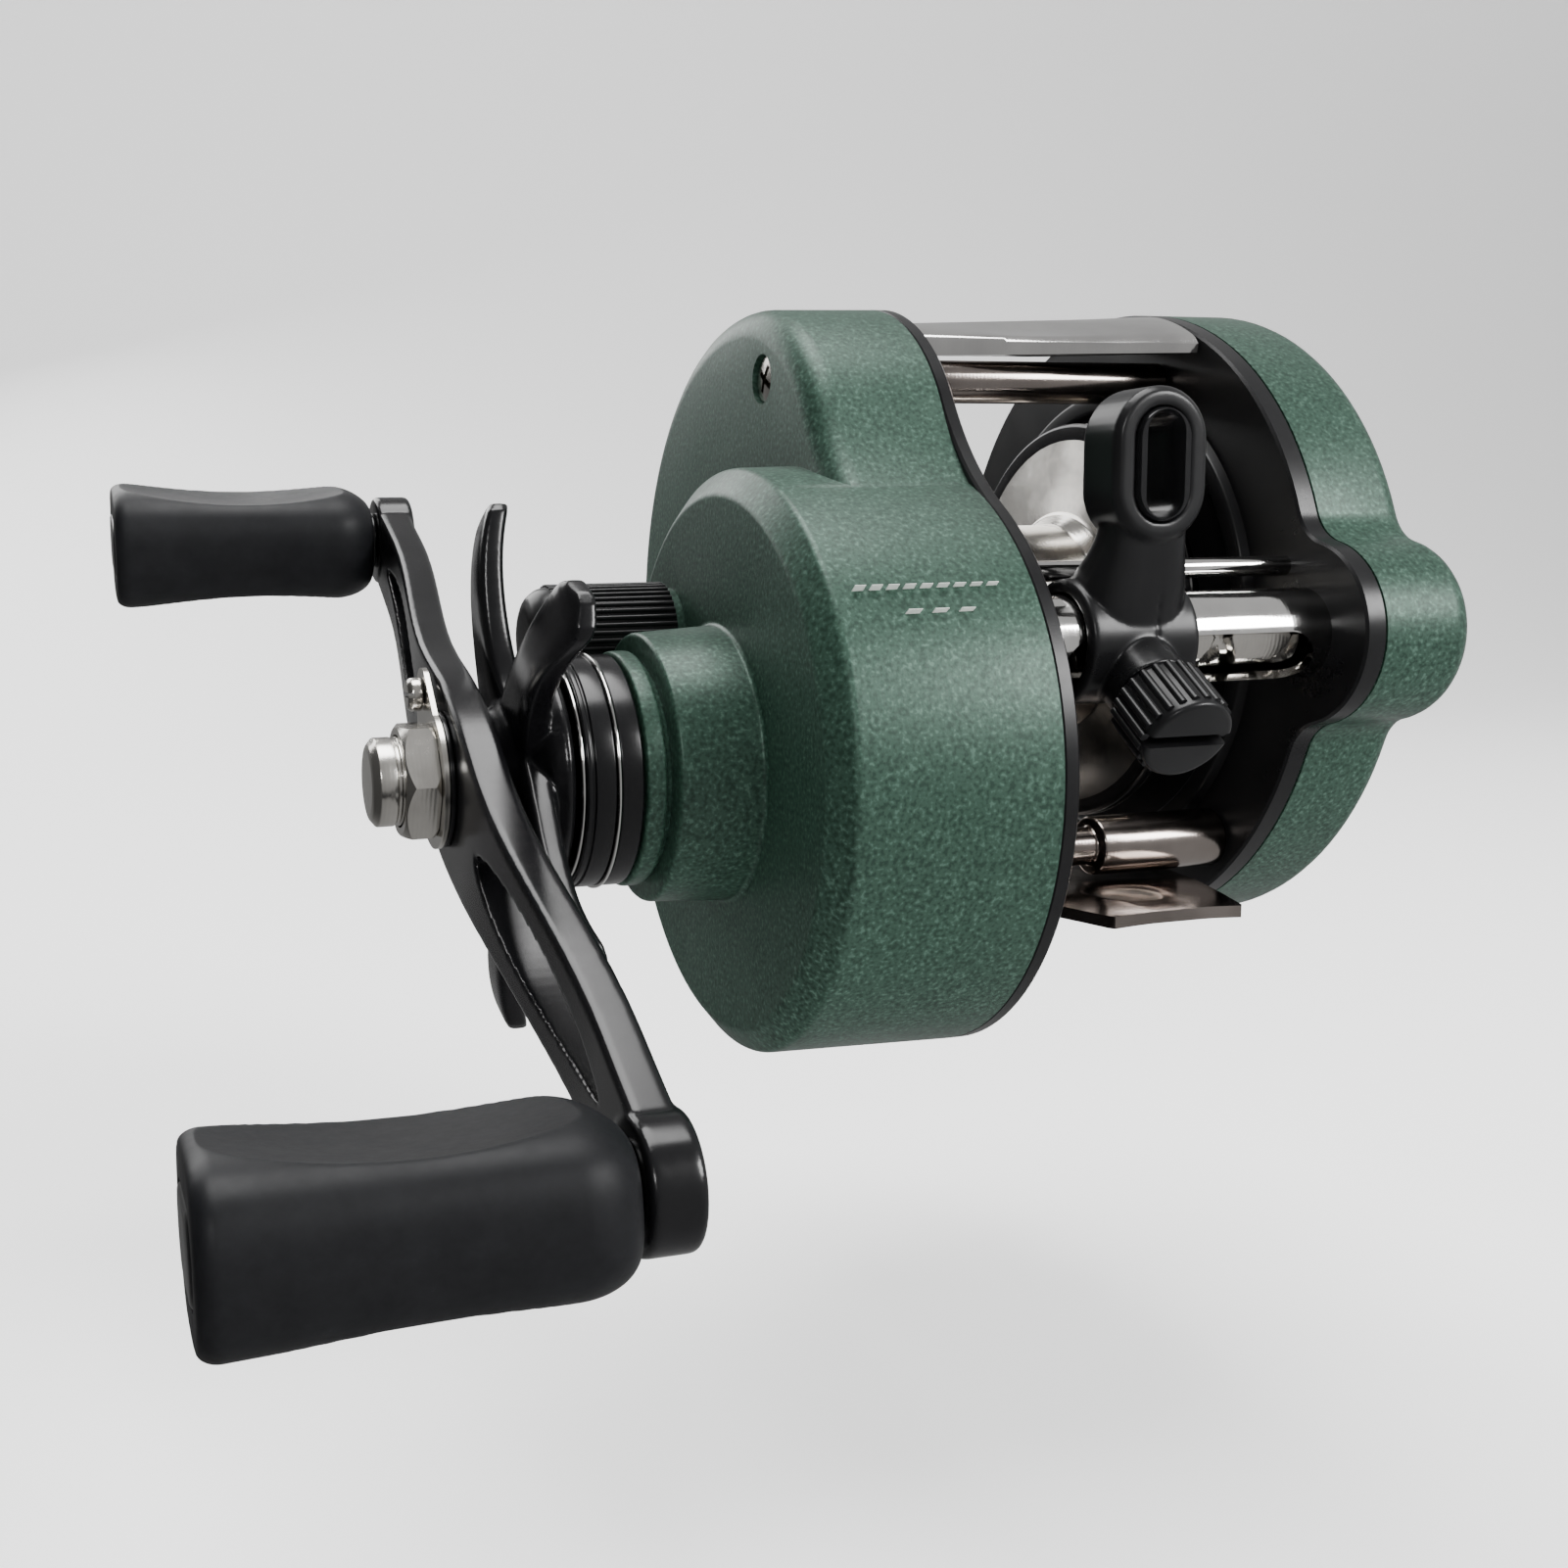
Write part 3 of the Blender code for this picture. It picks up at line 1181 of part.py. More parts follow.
def drag_star(back):
    """Hub with curved arms swept toward the body at their tips."""
    root = 5.2
    hub = lathe("drag_star", [
        (back, DRIVE_SHAFT_RADIUS + RUN), (back, RING_RADIUS - 0.8),
        (back - 0.5, RING_RADIUS - 0.4), (back - 1.7, RING_RADIUS - 1.0),
        (back - 3.3, 6.4), (back - 4.6, 5.3), (back - 5.2, 5.0),
        (back - 5.2, DRIVE_SHAFT_RADIUS + RUN)], DRIVE, anodised(),
        segments=24)
    arms = []
    for k in range(STAR_ARMS):
        a0 = math.radians(STAR_PHASE + 360 / STAR_ARMS * k)
        sections = []
        steps = 4
        for i in range(steps + 1):
            s = i / steps
            r = root + (STAR_RADIUS - root) * s
            bend = a0 - math.radians(16) * (1 - s) ** 2
            x = back - 2.6 - 1.3 * s + 2.2 * s ** 4
            half = 3.7 - 2.2 * s + 1.7 * s ** 5
            thick = 1.25 - 0.4 * s
            cy, cz = math.cos(bend), math.sin(bend)
            section = []
            for w, t in ((-1, -0.35), (-0.45, -1), (0.45, -1), (1, -0.35),
                         (1, 0.5), (0.6, 1), (-0.6, 1), (-1, 0.5)):
                section.append((x + t * thick,
                                DRIVE[0] + r * cy - w * half * cz,
                                DRIVE[1] + r * cz + w * half * cy))
            sections.append(section)
        arms.append(loft("arm", sections))
    join(hub, arms)
    boolean(hub, [cylinder("bore", back - 9, back + 2,
                           DRIVE_SHAFT_RADIUS + RUN, DRIVE)])
    return set_origin(hub, 0, *DRIVE)


def tension_cap():
    """Knurled spool tension cap screwed on the gear cover's nose."""
    outer = TENSION_RADIUS
    near, far = TENSION_SEAT - 0.3, TENSION_END
    count = 32
    verts, faces = [], []
    profile = [(near, 0, 0), (near, outer, 1), (far + 1.7, outer, 1),
               (far + 1.2, outer - 0.4, 0), (far, outer - 0.9, 0),
               (far, 0, 0)]
    rings = []
    for x, r, grip in profile:
        if r == 0:
            rings.append([len(verts)] * count)
            verts.append((x, 0, 0))
            continue
        rings.append(list(range(len(verts), len(verts) + count)))
        for k in range(count):
            a = 2 * math.pi * k / count
            q = r - (0.25 if grip and k % 2 else 0)
            verts.append((x, q * math.cos(a), q * math.sin(a)))
    for a, b in zip(rings, rings[1:]):
        for k in range(count):
            m = (k + 1) % count
            face = []
            for v in (a[k], a[m], b[m], b[k]):
                if v not in face:
                    face.append(v)
            faces.append(face)
    cap = make("tension_cap", verts, faces, plastic())
    stem = cylinder("stem", near - 0.5, LUG_END - 0.3,
                    TENSION_THREAD - 0.1, (0, 0))
    join(cap, [stem])
    return set_origin(cap, 0, 0, 0)


# ---- handle ------------------------------------------------------------
def along_handle(s, t):
    """(y, z) of a point s along the handle and t across it."""
    return (DRIVE[0] + s * HANDLE_DIR[0] - t * HANDLE_DIR[1],
            DRIVE[1] + s * HANDLE_DIR[1] + t * HANDLE_DIR[0])


def arm_x(s):
    """Inner face of the cranked arm at a distance from the drive axis."""
    t = min(max((abs(s) - 8.3) / 28.3, 0), 1)
    t = t * t * (3 - 2 * t)
    return ARM_CENTRE_X + (ARM_END_X - ARM_CENTRE_X) * t


def handle_arm():
    stations = 10
    sections = []
    reach = HANDLE_THROW
    for i in range(-stations, stations + 1):
        s = reach * i / stations
        near = abs(s) / reach
        half = 3.8 + 3.2 * math.exp(-(s / 12.5) ** 2) + 0.85 * math.sin(
            math.pi * near) ** 2
        x = arm_x(s)
        bevel = 0.4
        section = []
        for t, x0 in ((-half, x - bevel), (-half + bevel, x),
                      (half - bevel, x), (half, x - bevel),
                      (half, x - ARM_THICK + bevel),
                      (half - bevel, x - ARM_THICK),
                      (-half + bevel, x - ARM_THICK),
                      (-half, x - ARM_THICK + bevel)):
            section.append((x0, *along_handle(s, t)))
        sections.append(section)
    arm = loft("handle_arm", sections, anodised())
    hubs = [cylinder("hub", ARM_END_X - HUB_THICK, ARM_END_X + 0.4,
                     HUB_RADIUS, at, edge=0.4)
            for at in (KNOB_UP, KNOB_LOW)]
    join(arm, hubs)
    cuts = []
    for side in (1, -1):
        outline = []
        near, far = 11.3 * side, 37.5 * side
        steps = 6
        for i in range(steps + 1):
            s = near + (far - near) * i / steps
            f = i / steps
            half = 2.6 * math.sin(math.pi * (0.06 + 0.88 * f)) ** 0.6 * (
                1.15 - 0.5 * f)
            outline.append((s, half))
        ring_points = outline + [(s, -h) for s, h in outline[::-1]]
        sections = [[(x, *along_handle(s, t)) for s, t in ring_points]
                    for x in (ARM_END_X + 3, ARM_CENTRE_X - ARM_THICK - 3)]
        cuts.append(loft("slot", sections))
    through = (ARM_CENTRE_X - 10, ARM_CENTRE_X + 6)
    cuts.append(cylinder("bore", *through, DRIVE_SHAFT_RADIUS - 0.15, DRIVE,
                         segments=32))
    for at in (KNOB_UP, KNOB_LOW):
        cuts.append(cylinder("stud_bore", *through, STUD_RADIUS + CLEAR, at,
                             segments=16))
    boolean(arm, cuts)
    return set_origin(arm, 0, *DRIVE)


ARM_OUT = ARM_CENTRE_X - ARM_THICK


def hexagon(radius, turn):
    return [(DRIVE[0] + radius * math.cos(math.radians(turn + 60 * k)),
             DRIVE[1] + radius * math.sin(math.radians(turn + 60 * k)))
            for k in range(6)]


def handle_fasteners():
    bore = DRIVE_SHAFT_RADIUS - 0.15
    washer = ring("arm_washer", ARM_OUT - 0.45, ARM_OUT - 0.05, 5.4, bore,
                  DRIVE, anodised(), 24, 0.1)
    set_origin(washer, 0, *DRIVE)

    plate_x = (ARM_OUT - 0.95, ARM_OUT - 0.55)
    outline = arc((0, 0), 5.5, 40, 320, 24)
    outline += arc((RETAINER_REACH, 0), 2.1, -60, 60, 8)
    turn = math.radians(RETAINER_ANGLE)
    spun_out = [(DRIVE[0] + y * math.cos(turn) - z * math.sin(turn),
                 DRIVE[1] + y * math.sin(turn) + z * math.cos(turn))
                for y, z in outline]
    plate = prism("nut_retainer", spun_out, *plate_x, steel())
    hole = cylinder("bore", plate_x[0] - 1, plate_x[1] + 1, bore, DRIVE,
                    segments=24)
    at = (DRIVE[0] + RETAINER_REACH * math.cos(turn),
          DRIVE[1] + RETAINER_REACH * math.sin(turn))
    small = cylinder("screw_hole", plate_x[0] - 1, plate_x[1] + 1, 0.95, at,
                     segments=16)
    set_origin(boolean(plate, [hole, small]), 0, *DRIVE)

    screw = lathe("retainer_screw", [
        (ARM_OUT - 2.2, 0), (ARM_OUT - 2.2, 1.0), (ARM_OUT - 1.9, 1.35),
        (ARM_OUT - 1.05, 1.35), (ARM_OUT - 1.05, 0.75),
        (ARM_OUT - 0.3, 0.75), (ARM_OUT - 0.3, 0)], at, steel(), 16)
    y, z = at
    set_origin(boolean(screw, [
        block("slot", (ARM_OUT - 4, ARM_OUT - 1.8), (y - 2, y + 2),
              (z - 0.2, z + 0.2))]), 0, *DRIVE)

    x0, x1 = ARM_OUT - 3.6, ARM_OUT - 1.0
    nut = prism("handle_nut", hexagon(NUT_CORNER, 0), x0, x1, steel(), 0)
    crown = lathe("crown", [
        (x0 - 0.5, 0), (x0 - 0.5, NUT_CORNER - 0.9), (x0 + 0.6, NUT_CORNER),
        (x1 - 0.2, NUT_CORNER), (x1 - 0.2, NUT_CORNER + 0.3),
        (x1 + 1, NUT_CORNER + 0.3), (x1 + 1, 0)], DRIVE, segments=24)
    boolean(nut, [crown], "INTERSECT")
    boolean(nut, [cylinder("bore", x0 - 2, x1 + 2, bore, DRIVE,
                           segments=24)])
    set_origin(nut, 0, *DRIVE)


KNOB_BACK = ARM_END_X - HUB_THICK
KNOB_START = KNOB_BACK - KNOB_GAP
KNOB_BORE = 18.3


def knob_spindle(name, at):
    end = KNOB_START - KNOB_BORE + 0.5
    r, collar = STUD_RADIUS, STUD_RADIUS + 1.1
    spindle = lathe(name, [
        (end, 0), (end, r), (KNOB_START + 0.3, r),
        (KNOB_START + 0.3, collar), (KNOB_BACK - 0.1, collar),
        (KNOB_BACK - 0.1, r), (ARM_END_X - 0.2, r), (ARM_END_X - 0.2, 0)],
        at, anodised(), 24)
    return set_origin(spindle, 0, *at)


def knob_size(s):
    """Half width and half depth along the knob, 0 at the arm, 1 outside."""
    start = min(s / 0.10, 1.0)
    mouth = 0.62 + 0.38 * math.sqrt(max(0, 1 - (1 - start) ** 2))
    flare = 0.92 + 0.08 * s - 0.05 * math.sin(math.pi * s)
    end = 1.0 - 0.16 * max(0.0, (s - 0.93) / 0.07) ** 2
    return KNOB_WIDTH / 2 * mouth * flare * end, (
        KNOB_DEPTH / 2 * mouth * flare * end)


def knob(name, at, turn):
    """Soft paddle grip with a dished flat on both broad sides."""
    start = KNOB_START
    spans = 9
    around = 18
    tilt = math.radians(turn)
    sections = []
    for i in range(spans + 1):
        s = i / spans
        x = start - KNOB_LENGTH * s
        half_w, half_d = knob_size(s)
        section = []
        for k in range(around):
            a = 2 * math.pi * k / around
            c, d = math.cos(a), math.sin(a)
            u = half_w * math.copysign(abs(c) ** 0.62, c)
            v = half_d * math.copysign(abs(d) ** 0.62, d)
            dish = 0.9 * max(0, 1 - ((s - 0.52) / 0.42) ** 2) * max(
                0, 1 - (u / half_w / 0.85) ** 2)
            v -= math.copysign(dish, d) if abs(d) > 0.3 else 0
            section.append((x, at[0] + u * math.cos(tilt)
                            - v * math.sin(tilt),
                            at[1] + u * math.sin(tilt) + v * math.cos(tilt)))
        sections.append(section)
    body = loft(name, sections, rubber())
    boolean(body, [
        cylinder("bore", start - KNOB_BORE, start + 1, STUD_RADIUS + RUN, at,
                 segments=24)])
    end = start - KNOB_LENGTH
    pocket = prism("pocket", capped(at, *KNOB_CAP, tilt), end - 1, end + 0.8)
    boolean(body, [pocket])
    return set_origin(body, 0, *at)


def capped(at, half, radius, tilt):
    points = arc((half - radius, 0), radius, -90, 90, 8)
    points += arc((-half + radius, 0), radius, 90, 270, 8)
    return [(at[0] + y * math.cos(tilt) - z * math.sin(tilt),
             at[1] + y * math.sin(tilt) + z * math.cos(tilt))
            for y, z in points]


def knob_cap(name, at, turn):
    end = KNOB_START - KNOB_LENGTH
    half, radius = KNOB_CAP
    cap = prism(name, capped(at, half - CLEAR, radius - CLEAR,
                             math.radians(turn)), end - 0.15, end + 0.65,
                plastic())
    return set_origin(cap, 0, *at)


KNOB_TURN = {"upper": 8.0, "lower": -8.0}


def build():
    for obj in list(bpy.data.objects):
        bpy.data.objects.remove(obj)
    handle_side_plate()
    gear_cover()
    palm_side_plate()
    palm_cover()
    screws()
    pillars()
    thumb_rest()
    reel_foot()
    rivets()
    worm_tube()
    cylinder("guide_rod", -INNER - 1.0, INNER + 1.0, ROD_RADIUS, ROD_AXIS,
             chrome(), segments=16)
    worm_shaft()
    line_guide()
    guide_insert()
    pawl()
    pawl_cap()
    spool()
    spool_shaft()
    brake_blocks()
    brake_drum()
    bearings()
    drive_parts()
    clutch_yoke()
    thumb_bar()
    drag_star(drag_rings() - RUN)
    tension_cap()
    handle_arm()
    handle_fasteners()
    for side, at in (("upper", KNOB_UP), ("lower", KNOB_LOW)):
        knob_spindle(f"knob_spindle_{side}", at)
        knob(f"knob_{side}", at, KNOB_TURN[side])
        knob_cap(f"knob_cap_{side}", at, KNOB_TURN[side])


build()
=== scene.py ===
import json
import math

import bmesh
import bpy
from mathutils import Matrix, Vector


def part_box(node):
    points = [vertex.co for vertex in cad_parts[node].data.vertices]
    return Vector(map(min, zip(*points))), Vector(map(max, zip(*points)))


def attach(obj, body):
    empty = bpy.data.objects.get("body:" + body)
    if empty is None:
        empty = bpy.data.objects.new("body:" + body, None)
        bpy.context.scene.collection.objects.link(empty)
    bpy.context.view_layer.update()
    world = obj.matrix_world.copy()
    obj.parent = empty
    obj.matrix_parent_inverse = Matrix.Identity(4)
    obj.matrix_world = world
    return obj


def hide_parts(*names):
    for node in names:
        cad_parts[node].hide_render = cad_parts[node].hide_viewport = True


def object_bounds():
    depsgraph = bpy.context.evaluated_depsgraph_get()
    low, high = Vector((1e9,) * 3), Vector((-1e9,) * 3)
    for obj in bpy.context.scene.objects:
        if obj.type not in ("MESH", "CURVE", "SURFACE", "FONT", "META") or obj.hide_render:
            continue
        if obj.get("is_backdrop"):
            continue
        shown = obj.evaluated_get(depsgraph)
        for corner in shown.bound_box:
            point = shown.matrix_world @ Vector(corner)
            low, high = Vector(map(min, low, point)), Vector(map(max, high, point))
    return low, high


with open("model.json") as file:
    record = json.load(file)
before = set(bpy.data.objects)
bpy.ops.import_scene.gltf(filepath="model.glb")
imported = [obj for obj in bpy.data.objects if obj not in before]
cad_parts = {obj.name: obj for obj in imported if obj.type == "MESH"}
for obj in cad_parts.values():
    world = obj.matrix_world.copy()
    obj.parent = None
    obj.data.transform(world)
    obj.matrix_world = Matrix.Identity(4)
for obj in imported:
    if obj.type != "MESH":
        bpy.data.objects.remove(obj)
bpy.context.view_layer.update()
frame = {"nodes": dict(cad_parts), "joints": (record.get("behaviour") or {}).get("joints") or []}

# lengths below are millimetres; points are (x, y, z) from the spool axis
mm = 0.001
spoolLow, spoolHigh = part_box("spool")
axisHeight = (spoolLow.z + spoolHigh.z) / 2 / mm
joints = {j["name"]: j for j in frame["joints"]}


def jointAxis(name):
    place = joints[name]["pos_m"]
    return (place[1] / mm, place[2] / mm - axisHeight)


def boxOf(node):
    low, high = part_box(node)
    return (low.x / mm, high.x / mm, low.y / mm, high.y / mm,
            low.z / mm - axisHeight, high.z / mm - axisHeight)


def centreOf(node):
    b = boxOf(node)
    return ((b[2] + b[3]) / 2, (b[4] + b[5]) / 2)


spoolAxis = (0.0, 0.0)
driveAxis = jointAxis("handle_turn")
wormAxis = jointAxis("worm_spin")
knobAxes = {"upper": jointAxis("knob_upper_spin"), "lower": jointAxis("knob_lower_spin")}
print("frame loaded, spool axis at", round(axisHeight, 2), "mm")


# ---- shader groups used by several finishes
def groupSockets(tree, inputs, outputs):
    for kind, name, value in inputs:
        made = tree.interface.new_socket(name=name, in_out="INPUT", socket_type=kind)
        made.default_value = value
    for kind, name in outputs:
        tree.interface.new_socket(name=name, in_out="OUTPUT", socket_type=kind)
    return tree.nodes.new("NodeGroupInput"), tree.nodes.new("NodeGroupOutput")


def makeNoise(tree, source, scale, detail, rough=0.5):
    noise = tree.nodes.new("ShaderNodeTexNoise")
    noise.inputs["Detail"].default_value = detail
    noise.inputs["Roughness"].default_value = rough
    tree.links.new(source, noise.inputs["Vector"])
    if isinstance(scale, (int, float)):
        noise.inputs["Scale"].default_value = scale
    else:
        tree.links.new(scale, noise.inputs["Scale"])
    return noise


def handlingGroup():
    # cloudy smears and fine rubs that change gloss, between Low and High
    tree = bpy.data.node_groups.new("handling marks", "ShaderNodeTree")
    start, end = groupSockets(tree, [
        ("NodeSocketVector", "Vector", (0, 0, 0)), ("NodeSocketFloat", "Scale", 90.0),
        ("NodeSocketFloat", "Low", 0.3), ("NodeSocketFloat", "High", 0.5)],
        [("NodeSocketFloat", "Roughness"), ("NodeSocketFloat", "Mask")])
    big = makeNoise(tree, start.outputs["Vector"], start.outputs["Scale"], 4.0)
    fine = makeNoise(tree, start.outputs["Vector"], 1400.0, 3.0, 0.7)
    mix = tree.nodes.new("ShaderNodeMath")
    mix.operation = "MULTIPLY_ADD"
    mix.inputs[1].default_value = 0.35
    tree.links.new(fine.outputs["Fac"], mix.inputs[0])
    tree.links.new(big.outputs["Fac"], mix.inputs[2])
    ranged = tree.nodes.new("ShaderNodeMapRange")
    ranged.inputs["From Min"].default_value = 0.45
    ranged.inputs["From Max"].default_value = 0.95
    tree.links.new(mix.outputs[0], ranged.inputs["Value"])
    tree.links.new(start.outputs["Low"], ranged.inputs["To Min"])
    tree.links.new(start.outputs["High"], ranged.inputs["To Max"])
    tree.links.new(ranged.outputs["Result"], end.inputs["Roughness"])
    tree.links.new(big.outputs["Fac"], end.inputs["Mask"])
    return tree


def grainGroup():
    # fine pebbled relief, as on paint, moulded plastic and cast rubber
    tree = bpy.data.node_groups.new("fine grain", "ShaderNodeTree")
    start, end = groupSockets(tree, [
        ("NodeSocketVector", "Vector", (0, 0, 0)), ("NodeSocketFloat", "Scale", 2200.0),
        ("NodeSocketFloat", "Strength", 0.2), ("NodeSocketFloat", "Depth", 0.00005)],
        [("NodeSocketVector", "Normal"), ("NodeSocketFloat", "Height")])
    grain = makeNoise(tree, start.outputs["Vector"], start.outputs["Scale"], 2.0, 0.55)
    bump = tree.nodes.new("ShaderNodeBump")
    tree.links.new(grain.outputs["Fac"], bump.inputs["Height"])
    tree.links.new(start.outputs["Strength"], bump.inputs["Strength"])
    tree.links.new(start.outputs["Depth"], bump.inputs["Distance"])
    tree.links.new(bump.outputs["Normal"], end.inputs["Normal"])
    tree.links.new(grain.outputs["Fac"], end.inputs["Height"])
    return tree


handling = handlingGroup()
grain = grainGroup()


def addGroup(mat, tree, vector, **values):
    node = mat.node_tree.nodes.new("ShaderNodeGroup")
    node.node_tree = tree
    mat.node_tree.links.new(vector, node.inputs["Vector"])
    for key, value in values.items():
        node.inputs[key].default_value = value
    return node


def feed(mat, key, output):
    mat.node_tree.links.new(output, mat.node_tree.nodes["Principled BSDF"].inputs[key])


def startFinish(name, metallic, specular, marking):
    # marking is the size of the handling marks, and the roughness they run between
    mat = bpy.data.materials.new(name)
    mat.use_nodes = True
    shader = mat.node_tree.nodes["Principled BSDF"]
    shader.inputs["Metallic"].default_value = metallic
    shader.inputs["Specular IOR Level"].default_value = specular
    vector = mat.node_tree.nodes.new("ShaderNodeTexCoord").outputs["Object"]
    marks = addGroup(mat, handling, vector, Scale=marking[0], Low=marking[1], High=marking[2])
    feed(mat, "Roughness", marks.outputs["Roughness"])
    return mat, vector, marks.outputs["Mask"]


def toneRamp(mat, factor, stops):
    ramp = mat.node_tree.nodes.new("ShaderNodeValToRGB")
    for element, (position, colour) in zip(ramp.color_ramp.elements, (stops[0], stops[-1])):
        element.position, element.color = position, (*colour, 1)
    for position, colour in stops[1:-1]:
        ramp.color_ramp.elements.new(position).color = (*colour, 1)
    mat.node_tree.links.new(factor, ramp.inputs["Fac"])
    feed(mat, "Base Color", ramp.outputs["Color"])


def pebble(mat, vector, scale, strength, depth=0.00003):
    relief = addGroup(mat, grain, vector, Scale=scale, Strength=strength, Depth=depth)
    feed(mat, "Normal", relief.outputs["Normal"])


def greenPaint():
    look = {"deep": (0.013, 0.034, 0.023), "mid": (0.024, 0.056, 0.039),
            "fleck": (0.050, 0.100, 0.074), "fleckScale": 3000.0, "pebble": 2300.0}
    mat, vector, mask = startFinish("green metallic paint", 0.30, 0.35, (70.0, 0.36, 0.50))
    flecks = makeNoise(mat.node_tree, vector, look["fleckScale"], 1.0, 0.4)
    toneRamp(mat, flecks.outputs["Fac"], [
        (0.34, look["deep"]), (0.50, look["mid"]), (0.58, look["mid"]), (0.72, look["fleck"])])
    pebble(mat, vector, look["pebble"], 0.32, 0.00005)
    return mat


def moulded(name, dark, light, low, high, grainScale, strength, specular=0.45):
    # one plain-toned finish whose tone, gloss and relief vary slightly
    mat, vector, mask = startFinish(name, 0.0, specular, (110.0, low, high))
    toneRamp(mat, mask, [(0.35, dark), (0.68, light)])
    pebble(mat, vector, grainScale, strength)
    return mat


def turnedMetal(name, dark, light, low, high, lathe=0.06):
    # metal with fine turning rings along X
    mat, vector, mask = startFinish(name, 1.0, 0.5, (130.0, low, high))
    toneRamp(mat, mask, [(0.35, dark), (0.66, light)])
    rings = mat.node_tree.nodes.new("ShaderNodeTexWave")
    rings.bands_direction = "X"
    rings.inputs["Scale"].default_value = 900.0
    rings.inputs["Distortion"].default_value = 1.5
    bump = mat.node_tree.nodes.new("ShaderNodeBump")
    bump.inputs["Strength"].default_value = lathe
    bump.inputs["Distance"].default_value = 0.00002
    mat.node_tree.links.new(vector, rings.inputs["Vector"])
    mat.node_tree.links.new(rings.outputs["Fac"], bump.inputs["Height"])
    feed(mat, "Normal", bump.outputs["Normal"])
    return mat


def gripRubber():
    mat, vector, mask = startFinish("grip rubber", 0.0, 0.15, (140.0, 0.40, 0.58))
    scuffs = makeNoise(mat.node_tree, vector, 420.0, 6.0, 0.75)
    toneRamp(mat, scuffs.outputs["Fac"], [
        (0.30, (0.0045, 0.0047, 0.0055)), (0.66, (0.007, 0.0073, 0.0085)), (0.80, (0.016, 0.016, 0.018))])
    pebble(mat, vector, 3200.0, 0.12)
    return mat


finish = {
    "paint": greenPaint(),
    "plastic": moulded("black moulded plastic", (0.0045, 0.0045, 0.005), (0.0075, 0.0075, 0.008),
                       0.26, 0.38, 1500.0, 0.03, specular=0.25),
    "gloss": moulded("black gloss coat", (0.003, 0.003, 0.0035), (0.006, 0.006, 0.0065),
                     0.16, 0.26, 900.0, 0.03, specular=0.3),
    "rubber": gripRubber(),
    "chrome": turnedMetal("bright plate", (0.62, 0.61, 0.60), (0.78, 0.77, 0.75), 0.05, 0.14, 0.03),
    "steel": turnedMetal("turned steel", (0.48, 0.46, 0.43), (0.66, 0.64, 0.60), 0.16, 0.30, 0.12),
    "gunmetal": turnedMetal("dark nickel", (0.19, 0.165, 0.15), (0.30, 0.265, 0.245), 0.10, 0.22, 0.04),
    "brass": turnedMetal("cut brass", (0.50, 0.33, 0.12), (0.66, 0.47, 0.20), 0.24, 0.38, 0.15),
    "nylon": moulded("white nylon", (0.58, 0.56, 0.50), (0.66, 0.64, 0.58), 0.42, 0.55, 1200.0, 0.08),
    "fibre": moulded("drag fibre", (0.045, 0.042, 0.038), (0.075, 0.070, 0.062), 0.70, 0.85, 3000.0, 0.4),
    "mark": moulded("pale marking ink", (0.42, 0.46, 0.42), (0.55, 0.58, 0.54), 0.45, 0.6, 2500.0, 0.1),
}
print("finishes made:", len(finish))


# ---- mesh helpers, in millimetres from the spool axis
def toWorld(x, y, z):
    return Vector((x * mm, y * mm, (z + axisHeight) * mm))


def meshPiece(name, verts, faces, mat, sharp=32):
    mesh = bpy.data.meshes.new(name)
    mesh.from_pydata([toWorld(*v) for v in verts], [], faces)
    work = bmesh.new()
    work.from_mesh(mesh)
    bmesh.ops.remove_doubles(work, verts=work.verts, dist=1e-7)
    bmesh.ops.recalc_face_normals(work, faces=work.faces)
    work.to_mesh(mesh)
    work.free()
    obj = bpy.data.objects.new(name, mesh)
    bpy.context.scene.collection.objects.link(obj)
    mesh.materials.append(mat)
    smoothPiece(obj, sharp)
    return obj


def smoothPiece(obj, sharp=32):
    obj.data.shade_smooth()
    obj.data.set_sharp_from_angle(angle=math.radians(sharp))


def loftPiece(name, sections, mat=None, sharp=32):
    count = len(sections[0])
    verts = [v for section in sections for v in section]
    faces = [list(range(count))[::-1], list(range(len(verts) - count, len(verts)))]
    for row in range(len(sections) - 1):
        for i in range(count):
            j = (i + 1) % count
            faces.append([row * count + i, row * count + j, (row + 1) * count + j, (row + 1) * count + i])
    return meshPiece(name, verts, faces, mat or finish["plastic"], sharp)


def turnedPiece(name, profile, axis, mat=None, around=96, sharp=32):
    # closed (x, radius) profile turned about the X line through axis
    verts, rings, faces = [], [], []
    for x, r in profile:
        if r < 1e-6:
            rings.append([len(verts)] * around)
            verts.append((x, *axis))
            continue
        rings.append(list(range(len(verts), len(verts) + around)))
        for k in range(around):
            a = 2 * math.pi * k / around
            verts.append((x, axis[0] + r * math.cos(a), axis[1] + r * math.sin(a)))
    for i in range(len(profile)):
        a, b = rings[i], rings[(i + 1) % len(profile)]
        if a[0] == a[1] and b[0] == b[1]:
            continue
        for k in range(around):
            m = (k + 1) % around
            face = []
            for v in (a[k], a[m], b[m], b[k]):
                if v not in face:
                    face.append(v)
            faces.append(face)
    return meshPiece(name, verts, faces, mat or finish["plastic"], sharp)


def roundBar(x0, x1, radius, axis, around=96):
    # a plain round solid that cuts a bore or adds a boss
    return turnedPiece("bar", [(x0, 0), (x0, radius), (x1, radius), (x1, 0)], axis, None, around)


def tubeProfile(x0, x1, inner, outer):
    return [(x0, inner), (x0, outer), (x1, outer), (x1, inner)]


def prism(name, outline, x0, x1, mat=None):
    # a (y, z) outline stretched along X
    return loftPiece(name, [[(x, *point) for point in outline] for x in (x0, x1)], mat)


